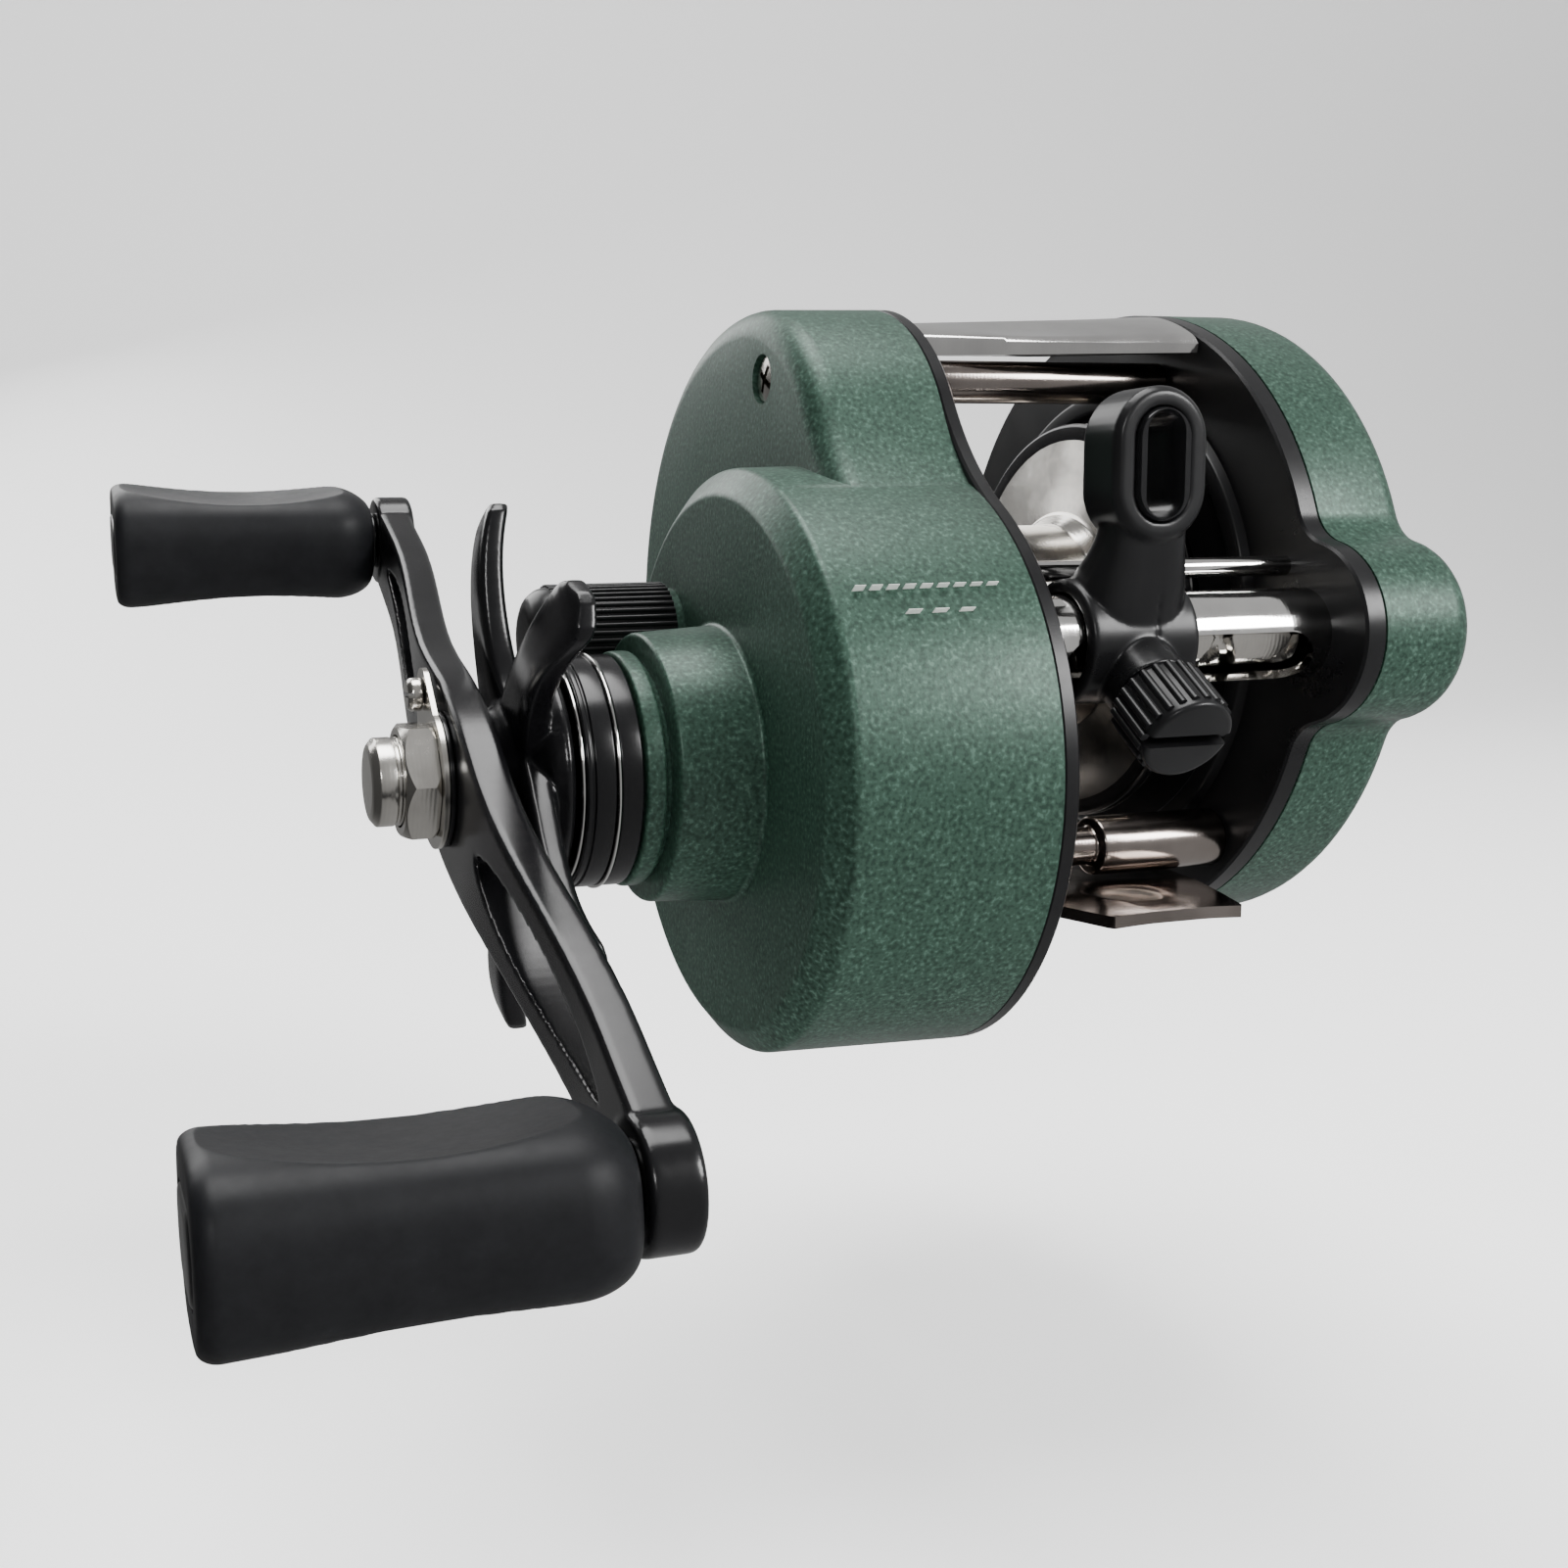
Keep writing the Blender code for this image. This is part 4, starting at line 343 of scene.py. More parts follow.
def turnedOutline(points, centre, angle):
    c, s = math.cos(angle), math.sin(angle)
    return [(centre[0] + y * c - z * s, centre[1] + y * s + z * c) for y, z in points]


def rounded(points, radius, steps=4):
    # round every corner of a closed (x, r) profile that is off the axis
    result = []
    for i, here in enumerate(points):
        p, a, b = Vector(here), Vector(points[i - 1]), Vector(points[(i + 1) % len(points)])
        toA, toB = a - p, b - p
        if here[1] < 1e-6 or toA.length < 1e-6 or toB.length < 1e-6:
            result.append(here)
            continue
        reach = min(radius, toA.length * 0.45, toB.length * 0.45)
        first, last = p + toA.normalized() * reach, p + toB.normalized() * reach
        for k in range(steps + 1):
            t = k / steps
            q = first * (1 - t) ** 2 + p * 2 * t * (1 - t) + last * t ** 2
            result.append((q.x, q.y))
    return result


def bakeModifiers(obj):
    bpy.context.view_layer.update()
    graph = bpy.context.evaluated_depsgraph_get()
    made = bpy.data.meshes.new_from_object(obj.evaluated_get(graph))
    obj.modifiers.clear()
    old = obj.data
    obj.data = made
    bpy.data.meshes.remove(old)
    return obj


def oneFinish(obj, mat):
    obj.data.materials.clear()
    obj.data.materials.append(mat)
    for polygon in obj.data.polygons:
        polygon.material_index = 0


def boolPiece(obj, tools, operation="DIFFERENCE", sharp=32):
    # worked large, so that small faces survive
    grow = 500.0
    mat = obj.data.materials[0]
    obj.data.transform(Matrix.Scale(grow, 4))
    for tool in tools:
        tool.data.transform(Matrix.Scale(grow, 4))
        modifier = obj.modifiers.new("cut", "BOOLEAN")
        modifier.operation = operation
        modifier.object = tool
        modifier.solver = "MANIFOLD"
        bakeModifiers(obj)
        bpy.data.objects.remove(tool)
    work = bmesh.new()
    work.from_mesh(obj.data)
    bmesh.ops.remove_doubles(work, verts=work.verts, dist=1e-6 * grow)
    bmesh.ops.scale(work, vec=(1 / grow,) * 3, verts=work.verts)
    work.to_mesh(obj.data)
    work.free()
    oneFinish(obj, mat)
    smoothPiece(obj, sharp)
    return obj


def joinPieces(obj, tools):
    return boolPiece(obj, tools, "UNION")


def mergeMeshes(first, other):
    # both meshes in one piece, with nothing cut
    work = bmesh.new()
    work.from_mesh(first.data)
    work.from_mesh(other.data)
    work.to_mesh(first.data)
    work.free()
    bpy.data.objects.remove(other)
    return first


def moulding(obj, voxel, passes, mat):
    # fine remesh and a little smoothing, which leaves the fillets of a moulded piece
    remesh = obj.modifiers.new("remesh", "REMESH")
    remesh.mode = "VOXEL"
    remesh.voxel_size = voxel * mm
    relax = obj.modifiers.new("relax", "SMOOTH")
    relax.factor = 0.5
    relax.iterations = passes
    bakeModifiers(obj)
    oneFinish(obj, mat)
    obj.data.shade_smooth()
    return obj


def pieceName(node):
    return node.replace("_", " ").title().replace(" ", "")


def settle(obj, body, slot, *nodes):
    if nodes:
        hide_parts(*nodes)
    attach(obj, body)
    return obj


def rodPiece(name, x0, x1, radius, axis, mat, bevel=0.2, around=64):
    profile = [(x0, 0), (x0, radius), (x1, radius), (x1, 0)]
    return turnedPiece(name, rounded(profile, bevel), axis, mat, around)


def arcPoints(centre, radius, start, end, steps):
    return [(centre[0] + radius * math.cos(math.radians(start + (end - start) * i / steps)),
             centre[1] + radius * math.sin(math.radians(start + (end - start) * i / steps)))
            for i in range(steps + 1)]


def heading(a, b):
    return math.degrees(math.atan2(b[1] - a[1], b[0] - a[0])) % 360


def filletCentre(c1, r1, c2, r2, fillet, side):
    d = math.dist(c1, c2)
    a, b = r1 + fillet, r2 + fillet
    along = (a * a - b * b + d * d) / (2 * d)
    off = math.sqrt(max(a * a - along * along, 0)) * side
    ux, uy = (c2[0] - c1[0]) / d, (c2[1] - c1[1]) / d
    return (c1[0] + ux * along - uy * off, c1[1] + uy * along + ux * off)


# ---- side outlines
handlePlate, palmPlate = boxOf("handle_side_plate"), boxOf("palm_side_plate")
coverBox, palmBox = boxOf("gear_cover"), boxOf("palm_cover")
sides = {
    "round": palmBox[3],                      # outer radius about the spool axis
    "housing": driveAxis[1] - handlePlate[4],  # outer radius about the drive axis
    "plateOut": coverBox[1], "handleInner": handlePlate[1],
    "palmInner": palmPlate[0], "palmOut": palmBox[0],
    "lobeCorner": 17.0, "lobeAngle": 94.6, "lobeStep": -0.9, "waist": 25.0,
    "bump": wormAxis[0] - palmBox[2], "bumpWaist": 3.8, "wall": 1.3,
}


def handleOutline(grow=0.0, housing=0.0):
    ca = math.radians(sides["lobeAngle"])
    inset = sides["round"] - sides["lobeCorner"]
    lobe = (inset * math.cos(ca), inset * math.sin(ca))
    gear = sides["housing"] + grow + housing
    top, waist = sides["lobeCorner"] + grow, sides["waist"] - grow
    hub = filletCentre(lobe, top, driveAxis, gear, waist, -1)
    reach = sides["round"] + grow
    tilt = math.degrees(math.acos((gear - reach) / math.dist(driveAxis, spoolAxis)))
    rear = heading(driveAxis, spoolAxis) - tilt
    points = arcPoints(spoolAxis, reach, rear, sides["lobeAngle"], 72)
    points += arcPoints(lobe, top, sides["lobeAngle"], heading(lobe, hub), 24)[1:]
    a0, a1 = heading(hub, lobe), heading(hub, driveAxis)
    if a0 >= a1 + 180:
        a0 -= 360
    points += arcPoints(hub, waist, a0, a1, 20)[1:-1]
    points += arcPoints(driveAxis, gear, heading(driveAxis, hub), rear + 360, 84)
    return points


def palmOutline(grow=0.0):
    big, bump, waist = sides["round"] + grow, sides["bump"] + grow, sides["bumpWaist"] - grow
    up = filletCentre(spoolAxis, big, wormAxis, bump, waist, -1)
    low = filletCentre(spoolAxis, big, wormAxis, bump, waist, 1)
    aUp, aLow = heading(spoolAxis, up), heading(spoolAxis, low)
    first = heading(up, spoolAxis)
    if first > heading(up, wormAxis) + 180:
        first -= 360
    points = arcPoints(spoolAxis, big, aLow - 360, aUp, 110)
    points += arcPoints(up, waist, first, heading(up, wormAxis), 14)[1:-1]
    points += arcPoints(wormAxis, bump, heading(wormAxis, up), heading(wormAxis, low), 36)
    points += arcPoints(low, waist, heading(low, wormAxis), heading(low, spoolAxis), 14)[1:-1]
    return points


def slab(name, outline, x0, x1, edge, mat):
    # flat plate with a small chamfer on both faces; outline is a function of grow
    sections = []
    for x, grow in ((x0, -edge), (x0 + edge, 0.0), (x1 - edge, 0.0), (x1, -edge)):
        sections.append([(x, y, z) for y, z in outline(grow)])
    return loftPiece(name, sections, mat)


# ---- handle side: plate and painted gear cover
# x is where a face lies; a radius is about the drive axis, and the lug's about the spool axis
coverLook = {"face": -31.3, "draft": 0.4, "bevel": (1.6, 2.0), "lobeFace": -25.0, "lobeRound": 2.4,
             "bossRadius": 11.3, "bossFace": -38.1, "stageRadius": 9.5, "stageFace": coverBox[0],
             "groove": (0.5, 0.7), "lugRadius": 4.1, "lugFace": -34.5, "lugBore": 3.15, "relief": 4.95,
             "screwSeat": 2.05, "screwDeep": 1.9, "screwHole": 1.1, "bossBores": (5.95, 5.2)}
coverScrews = {side: centreOf(f"cover_screw_{side}") for side in ("top", "rear", "low")}
palmScrews = {side: centreOf(f"palm_screw_{side}") for side in ("front", "rear")}


def lobeShell(name, grow, front, roundBy, back, steps=8):
    sections = [[(back, y, z) for y, z in handleOutline(grow, sides["lobeStep"])]]
    draft = coverLook["draft"] * 0.45
    for i in range(steps + 1):
        a = math.pi / 2 * i / steps
        inset = draft + roundBy * (1 - math.cos(a))
        sections.append([(front + roundBy * (1 - math.sin(a)), y, z)
                         for y, z in handleOutline(grow - inset, sides["lobeStep"])])
    return loftPiece(name, sections)


def gearCover():
    look, openX, big, wall = coverLook, sides["plateOut"], sides["housing"], sides["wall"]
    face, (bevelX, bevelR), (grooveWide, grooveDeep) = look["face"], look["bevel"], look["groove"]
    bossFace, boss = look["bossFace"], look["bossRadius"]
    stageFace, stage = look["stageFace"], look["stageRadius"]
    lobeFace, lugFace, lug = look["lobeFace"], look["lugFace"], look["lugRadius"]
    top, step, neck = big - look["draft"], bossFace - grooveWide, stage - grooveDeep
    profile = [(openX + 0.5, 0), (openX + 0.5, big), (openX, big)]
    # the first and last corner only guide their neighbours, so their own points are left out
    profile += rounded([(openX, big), (face + bevelX, top), (face, top - bevelR), (face, boss),
                        (bossFace, boss - 0.4), (bossFace, stage - 2)], 0.4, 6)[7:-7]
    profile += [(bossFace, neck), (bossFace + 0.5, neck - 0.1), (step, neck)]
    profile += rounded([(step, 0), (step, stage), (stageFace, stage), (stageFace, 0)], 0.35)[1:]
    cover = turnedPiece("gearCoverShell", profile, driveAxis, finish["paint"], 200)
    joinPieces(cover, [lobeShell("lobe", 0.0, lobeFace, look["lobeRound"], openX + 0.8)])
    hollow = turnedPiece("hollow", [
        (openX + 1.6, 0), (openX + 1.6, big - wall), (openX, big - wall), (face + bevelX + 1.0, top - wall),
        (face + wall, top - wall - bevelR), (face + wall, 0)], driveAxis, None, 64)
    inner = lobeShell("hollowLobe", -wall, lobeFace + wall, look["lobeRound"] - 1, openX + 2, 3)
    trim = prism("trim", ((-60, -60), (60, -60), (60, 60), (-60, 60)), openX, openX + 4)
    boolPiece(cover, [joinPieces(hollow, [inner]), trim])
    posts = [rodPiece("post", lobeFace + 0.4, -19.2, 2.7, at, None, 0.1, 32) for at in coverScrews.values()]
    joinPieces(cover, [roundBar(lugFace, face + 4, lug, spoolAxis, 64), *posts])
    wide, narrow = look["bossBores"]
    shelf, relief = bossFace + 0.4, look["relief"]
    cuts = [turnedPiece("boss bore", [(face + 2, 0), (face + 2, wide), (shelf, wide), (shelf, narrow),
                                      (stageFace - 1, narrow), (stageFace - 1, 0)], driveAxis, None, 96),
            roundBar(-40, -20, look["lugBore"], spoolAxis, 64),
            turnedPiece("cap relief", [(-44, 0), (-44, relief), (face - 0.6, relief), (face - 0.6, lug),
                                       (lugFace, lug), (lugFace, 0)], spoolAxis, None, 96)]
    seat, hole, floor = look["screwSeat"], look["screwHole"], lobeFace + look["screwDeep"]
    for at in coverScrews.values():
        cuts.append(turnedPiece("seat", [(face, 0), (face, seat), (floor, seat), (floor, hole),
                                         (-15, hole), (-15, 0)], at, None, 48))
    boolPiece(cover, cuts, sharp=28)
    return settle(cover, "frame", "cover_paint", "gear_cover")


def thumbWindow(x0, x1):
    # the opening in both side plates that the thumb bar slides in
    top = boxOf("thumb_bar")[5] + 0.5
    return prism("window", ((15.8, 1.7), (22.4, 1.7), (22.4, top), (15.8, top)), x0, x1)


def handleSidePlate():
    out, near = sides["plateOut"], sides["handleInner"]
    plate = slab("handlePlate", handleOutline, out, near, 0.18, finish["plastic"])
    ledge = slab("ledge", lambda grow: handleOutline(grow - 1.45, sides["lobeStep"]),
                 out - 1.3, out + 0.5, 0.05, None)
    rim = turnedPiece("rim", rounded([(near - 0.3, 19.4), (near - 0.3, 21.2), (near + 0.55, 21.0),
                                      (near + 0.55, 19.6)], 0.2), spoolAxis, None, 160)
    joinPieces(plate, [ledge, rim])
    bores = ((spoolAxis, 4.35), (driveAxis, 4.75), (wormAxis, 2.5))
    cuts = [roundBar(-18, -10, r, at, 64) for at, r in bores]
    boolPiece(plate, [*cuts, thumbWindow(-18, -10)], sharp=28)
    return settle(plate, "frame", "frame_black", "handle_side_plate")


def repeatTree(name, spreadKind, spreadInputs, unitKind, unitInputs):
    # copies of one unit on the points of a line or ring; an input is its label, socket and type
    tree = bpy.data.node_groups.new(name, "GeometryNodeTree")
    tree.interface.new_socket(name="Geometry", in_out="INPUT", socket_type="NodeSocketGeometry")
    for label, socket, kind in (*spreadInputs, *unitInputs, ("Finish", "Material", "Material")):
        tree.interface.new_socket(name=label, in_out="INPUT", socket_type="NodeSocket" + kind)
    tree.interface.new_socket(name="Geometry", in_out="OUTPUT", socket_type="NodeSocketGeometry")
    link = tree.links.new
    start, end, spread, unit, place, real, dress = (tree.nodes.new(kind) for kind in (
        "NodeGroupInput", "NodeGroupOutput", spreadKind, unitKind, "GeometryNodeInstanceOnPoints",
        "GeometryNodeRealizeInstances", "GeometryNodeSetMaterial"))
    for node, inputs in ((spread, spreadInputs), (unit, unitInputs)):
        for label, socket, kind in inputs:
            link(start.outputs[label], node.inputs[socket])
    link(spread.outputs["Mesh"], place.inputs["Points"])
    link(unit.outputs["Mesh"], place.inputs["Instance"])
    link(place.outputs["Instances"], real.inputs["Geometry"])
    link(real.outputs["Geometry"], dress.inputs["Geometry"])
    link(start.outputs["Finish"], dress.inputs["Material"])
    link(dress.outputs["Geometry"], end.inputs["Geometry"])
    return tree


dashes = repeatTree(
    "dashes", "GeometryNodeMeshLine", (("Count", "Count", "Int"), ("Step", "Offset", "Vector")),
    "GeometryNodeMeshCube", (("Size", "Size", "Vector"),))
ribs = repeatTree(
    "grip ribs", "GeometryNodeMeshCircle", (("Count", "Vertices", "Int"), ("Ring Radius", "Radius", "Float")),
    "GeometryNodeMeshCylinder",
    (("Sides", "Vertices", "Int"), ("Rib Radius", "Radius", "Float"), ("Length", "Depth", "Float")))


def runTree(name, tree, values):
    obj = bpy.data.objects.new(name, bpy.data.meshes.new(name))
    bpy.context.scene.collection.objects.link(obj)
    modifier = obj.modifiers.new("nodes", "NODES")
    modifier.node_group = tree
    for item in tree.interface.items_tree:
        if item.in_out == "INPUT" and item.name in values:
            modifier[item.identifier] = values[item.name]
    return bakeModifiers(obj)


def ratioMarks():
    # two rows of plain dashes on the front of the housing, where a ratio is usually printed
    look = [{"count": 9, "pitch": 1.32, "size": (0.86, 0.05, 0.9), "angle": 143.0, "start": -27.6},
            {"count": 3, "pitch": 2.1, "size": (1.1, 0.05, 1.0), "angle": 148.0, "start": -23.9}]
    radius = sides["housing"] - 0.12
    rows = []
    for line in look:
        row = runTree("ratioMarks", dashes, {
            "Count": line["count"], "Step": (line["pitch"] * mm, 0, 0),
            "Size": [length * mm for length in line["size"]], "Finish": finish["mark"]})
        a = math.radians(line["angle"])
        turn = Matrix.Rotation(a - math.pi / 2, 4, "X")
        put = Matrix.Translation(toWorld(line["start"], driveAxis[0] + radius * math.cos(a),
                                         driveAxis[1] + radius * math.sin(a)))
        row.data.transform(put @ turn)
        rows.append(row)
    return settle(mergeMeshes(*rows), "frame", "cover_paint")


def crossScrew(name, headX, way, at, node, radius=1.9):
    shank, slotTurn = 0.9, 0.6
    # the crown runs straight in from the middle, so the points of its first corner are left out
    under, end = headX + way * 1.5, headX + way * 5
    crown = rounded([(headX, radius - 0.1), (headX + way * 0.35, radius), (under, radius)], 0.2)[5:]
    screw = turnedPiece(name, [(headX, 0), *crown, (under, shank), (end, shank), (end, 0)],
                        at, finish["steel"], 48)
    deep = sorted((headX - way, headX + way * 0.9))
    blade = ((-1.25, -0.26), (1.25, -0.26), (1.25, 0.26), (-1.25, 0.26))
    boolPiece(screw, [prism("blade", turnedOutline(blade, at, a), *deep)
                      for a in (slotTurn, slotTurn + math.pi / 2)])
    return settle(screw, "frame", "bare_steel", node)


gearCover()
handleSidePlate()
ratioMarks()
for side, at in coverScrews.items():
    crossScrew(f"coverScrew_{side}", boxOf(f"cover_screw_{side}")[0], 1, at, f"cover_screw_{side}")
print("handle side made")


# ---- palm side
palmLook = {"face": 20.8, "edge": 2.7, "crown": palmBox[1], "seat": 2.05, "opening": 14.2}


def domeShell(name, grow, back, face, crown, steps=9):
    edge = palmLook["edge"]
    sections = [[(back, y, z) for y, z in palmOutline(grow)]]
    for i in range(steps + 1):
        a = math.pi / 2 * i / steps
        sections.append([(face + edge * math.sin(a) * 0.85, y, z)
                         for y, z in palmOutline(grow - edge * (1 - math.cos(a)))])
    base, top = palmOutline(grow - edge), face + edge * 0.85
    for i in range(1, 13):
        s, f = 1 - 0.0775 * i, i / 12
        x = top + (crown - top) * (1 - (1 - f) ** 2)
        sections.append([(x, y * s - (1 - s) * 2.0, z * s) for y, z in base])
    return loftPiece(name, sections, finish["paint"])


def palmSide():
    look, out, wall, near = palmLook, sides["palmOut"], sides["wall"], sides["palmInner"]
    face, crown = look["face"], look["crown"]
    cover = domeShell("palmCoverShell", 0.0, out, face, crown)
    boolPiece(cover, [domeShell("hollow", -wall, out - 1, face - wall, crown - wall, 3)])
    seats = [roundBar(crown + 2, face + 0.7, look["seat"], at, 48) for at in palmScrews.values()]
    joinPieces(cover, [rodPiece("post", out + 3.4, face + 2.0, 2.7, at, None, 0.1, 32)
                       for at in palmScrews.values()])
    boolPiece(cover, seats, sharp=28)
    settle(cover, "frame", "cover_paint", "palm_cover")

    plate = slab("palmPlate", palmOutline, near, out, 0.2, finish["plastic"])
    ledge = slab("ledge", lambda grow: palmOutline(grow - 1.45), out - 0.5, out + 1.3, 0.05, None)
    rim = turnedPiece("rim", rounded([(near + 0.3, 19.2), (near + 0.3, 21.4), (near - 0.9, 21.1),
                                      (near - 0.9, 19.5)], 0.25), spoolAxis, None, 160)
    joinPieces(plate, [ledge, rim])
    boolPiece(plate, [roundBar(10, 20, look["opening"], spoolAxis, 128), thumbWindow(10, 20)], sharp=28)
    settle(plate, "frame", "frame_black", "palm_side_plate")


palmSide()
for side, at in palmScrews.items():
    crossScrew(f"palmScrew_{side}", boxOf(f"palm_screw_{side}")[1], -1, at, f"palm_screw_{side}")
print("palm side made")


# ---- pillars, thumb rest and foot
def pillar(node, radius, slim=None, shoulder=None):
    b = boxOf(node)
    points = [(b[0], 0), (b[0], radius), (b[1], radius), (b[1], 0)]
    if slim:
        points[1:2] = [(b[0], slim), (shoulder, slim), (shoulder, radius)]
    piece = turnedPiece(pieceName(node), rounded(points, 0.25), centreOf(node), finish["gunmetal"], 96)
    return settle(piece, "frame", "gunmetal", node)


def thumbRest():
    b = boxOf("thumb_rest")
    top = boxOf("pillar_top")
    reach, floor = b[1], top[5] + 0.3
    stations, across = 60, 26
    sections = []
    for i in range(stations + 1):
        s = i / stations
        x = -reach + 2 * reach * s
        dish = 0.75 * math.sin(math.pi * s) ** 2
        front, back = (-7.6 - 5.3 * s, 24.9 - 0.5 * s), (-1.4 - 0.4 * s, 26.6 + 0.6 * s)
        upper = []
        for k in range(across + 1):
            t = k / across
            bulge = (0.45 + 0.6 * s) * 4 * t * (1 - t)
            sag = dish * math.sin(math.pi * min(t * 1.2, 1)) * 0.9
            lip = 0.35 * (max(0, 1 - t * 14) ** 2 + max(0, 1 - (1 - t) * 14) ** 2)
            upper.append((x, front[0] + (back[0] - front[0]) * t,
                          front[1] + (back[1] - front[1]) * t + bulge - sag - lip))
        lower = [(px, py + 0.15, max(pz - 1.9, floor)) for px, py, pz in upper[::-1]]
        sections.append(upper + lower)
    rest = loftPiece("thumbRest", sections, finish["chrome"], 45)
    return settle(rest, "frame", "bright_chrome", "thumb_rest")


def footPlate():
    look = {"end": 6.0, "middle": 9.5, "thick": 0.95, "arch": 0.15, "strip": 2.2, "across": 24}
    b = boxOf("reel_foot")
    end, middle, strip, front, rear = look["end"], look["middle"], look["strip"], b[2], b[3]
    swell, drop = middle - end, -axisHeight
    knots = [(front, end - 0.3), (front + 0.4, end), (front + 4.6, end + 0.37 * swell),
             (front + 10, end + 0.8 * swell), (front + 16, middle), (rear - 14, middle),
             (rear - 8, end + 0.6 * swell), (rear - 0.4, end), (rear, end - 0.3)]
    sections = []
    for y, half in knots:
        lower, upper = [], []
        for k in range(look["across"] + 1):
            u = -half + 2 * half * k / look["across"]
            fall = look["arch"] * max(0, (abs(u) - strip) / (half - strip)) ** 1.4
            lower.append((u, y, drop - fall))
            upper.append((u, y, drop + look["thick"] - fall))
        sections.append(lower + upper[::-1])
    foot = loftPiece("footPlate", sections, finish["gunmetal"], 30)
    sinks = []
    for node in ("foot_rivet_front", "foot_rivet_rear"):
        y = centreOf(node)[0]
        sinks.append(uprightTurned("countersink", [
            (-1, 0), (-1, 1.55), (0.3, 1.55), (0.97, 3.15), (2, 3.15), (2, 0)], y, None))
        rivet = uprightTurned(node.replace("foot_rivet", "footRivet"), [
            (0.05, 0), (0.05, 1.4), (0.3, 1.4), (0.78, 2.7), (0.80, 2.5), (0.62, 2.1), (0.5, 1.3), (0.46, 0)],
            y, finish["steel"])
        settle(rivet, "frame", "bare_steel", node)
    boolPiece(foot, sinks)
    return settle(foot, "frame", "gunmetal", "reel_foot")


def uprightTurned(name, profile, y, mat):
    # stand the X axis of a turned shape up along Z, on the foot's middle line
    piece = turnedPiece(name, profile, (0, 0), mat, 64)
    turn = Matrix.Rotation(-math.pi / 2, 4, "Y")
    put = Matrix.Translation(toWorld(0, y, -axisHeight))
    piece.data.transform(put @ turn @ Matrix.Translation(-toWorld(0, 0, 0)))
    return piece


pillar("pillar_top", 1.8)
pillar("pillar_front_low", 2.5, 1.6, 0.3)
pillar("pillar_rear_low", 2.5)
thumbRest()
footPlate()
print("pillars, thumb rest and foot made")


# ---- level wind
guideBox = boxOf("line_guide")
guide = {"x": (guideBox[0] + guideBox[1]) / 2, "collar": 4.8, "eyeFace": boxOf("guide_insert")[2] + 0.3,
         "eyeDepth": 4.7, "eyeZ": 13.0, "width": 7.8, "height": 11.3,
         "hole": (2.7, 7.3), "insert": (4.4, 8.2),
         "tube": 3.6, "tubeWall": 0.7, "slotWidth": 4.6, "slotHalf": 11.1, "slotAngle": 214.0,
         "capStart": 6.9, "capLength": 5.2, "capRadius": 3.65}
slotDir = (math.cos(math.radians(guide["slotAngle"])), math.sin(math.radians(guide["slotAngle"])))


def stadiumPoints(cx, cz, width, height, steps=20):
    r = width / 2
    half = height / 2 - r
    turns = [math.pi * i / steps for i in range(steps + 1)]
    return ([(cx + r * math.cos(a), cz + half + r * math.sin(a)) for a in turns]
            + [(cx - r * math.cos(a), cz - half - r * math.sin(a)) for a in turns])


def squircle(count, powerX, powerY):
    # a unit ring, squarer than a circle where a power is under 1
    turns = [2 * math.pi * i / count for i in range(count)]
    return [(math.copysign(abs(math.cos(a)) ** powerX, math.cos(a)),
             math.copysign(abs(math.sin(a)) ** powerY, math.sin(a))) for a in turns]


def onSlot(x, depth, across):
    return (x, wormAxis[0] + depth * slotDir[0] - across * slotDir[1],
            wormAxis[1] + depth * slotDir[1] + across * slotDir[0])


def alongSlot(name, profile, mat=None, around=72):
    # turned about the pawl's line; profile is (distance from the worm axis, radius)
    piece = turnedPiece(name, profile, (0, 0), mat, around)
    turn = Vector((1, 0, 0)).rotation_difference(Vector((0, *slotDir))).to_matrix().to_4x4()
    put = Matrix.Translation(toWorld(guide["x"], *wormAxis))
    piece.data.transform(put @ turn @ Matrix.Translation(-toWorld(0, 0, 0)))
    return piece


def wormTube():
    b = boxOf("worm_tube")
    r, half = guide["tube"], guide["slotWidth"] / 2
    tube = turnedPiece("wormTube", rounded(tubeProfile(b[0], b[1], r - guide["tubeWall"], r), 0.15),
                       wormAxis, finish["chrome"], 128)
    end = guide["slotHalf"] - half
    turns = [math.pi * i / 20 for i in range(21)]
    outline = [(end + half * math.sin(a), -half * math.cos(a)) for a in turns]
    outline += [(-x, -v) for x, v in outline]
    slot = loftPiece("slot", [[onSlot(x, depth, v) for x, v in outline] for depth in (1.0, r + 1.5)])
    boolPiece(tube, [slot], sharp=25)
    return settle(tube, "frame", "bright_chrome", "worm_tube")


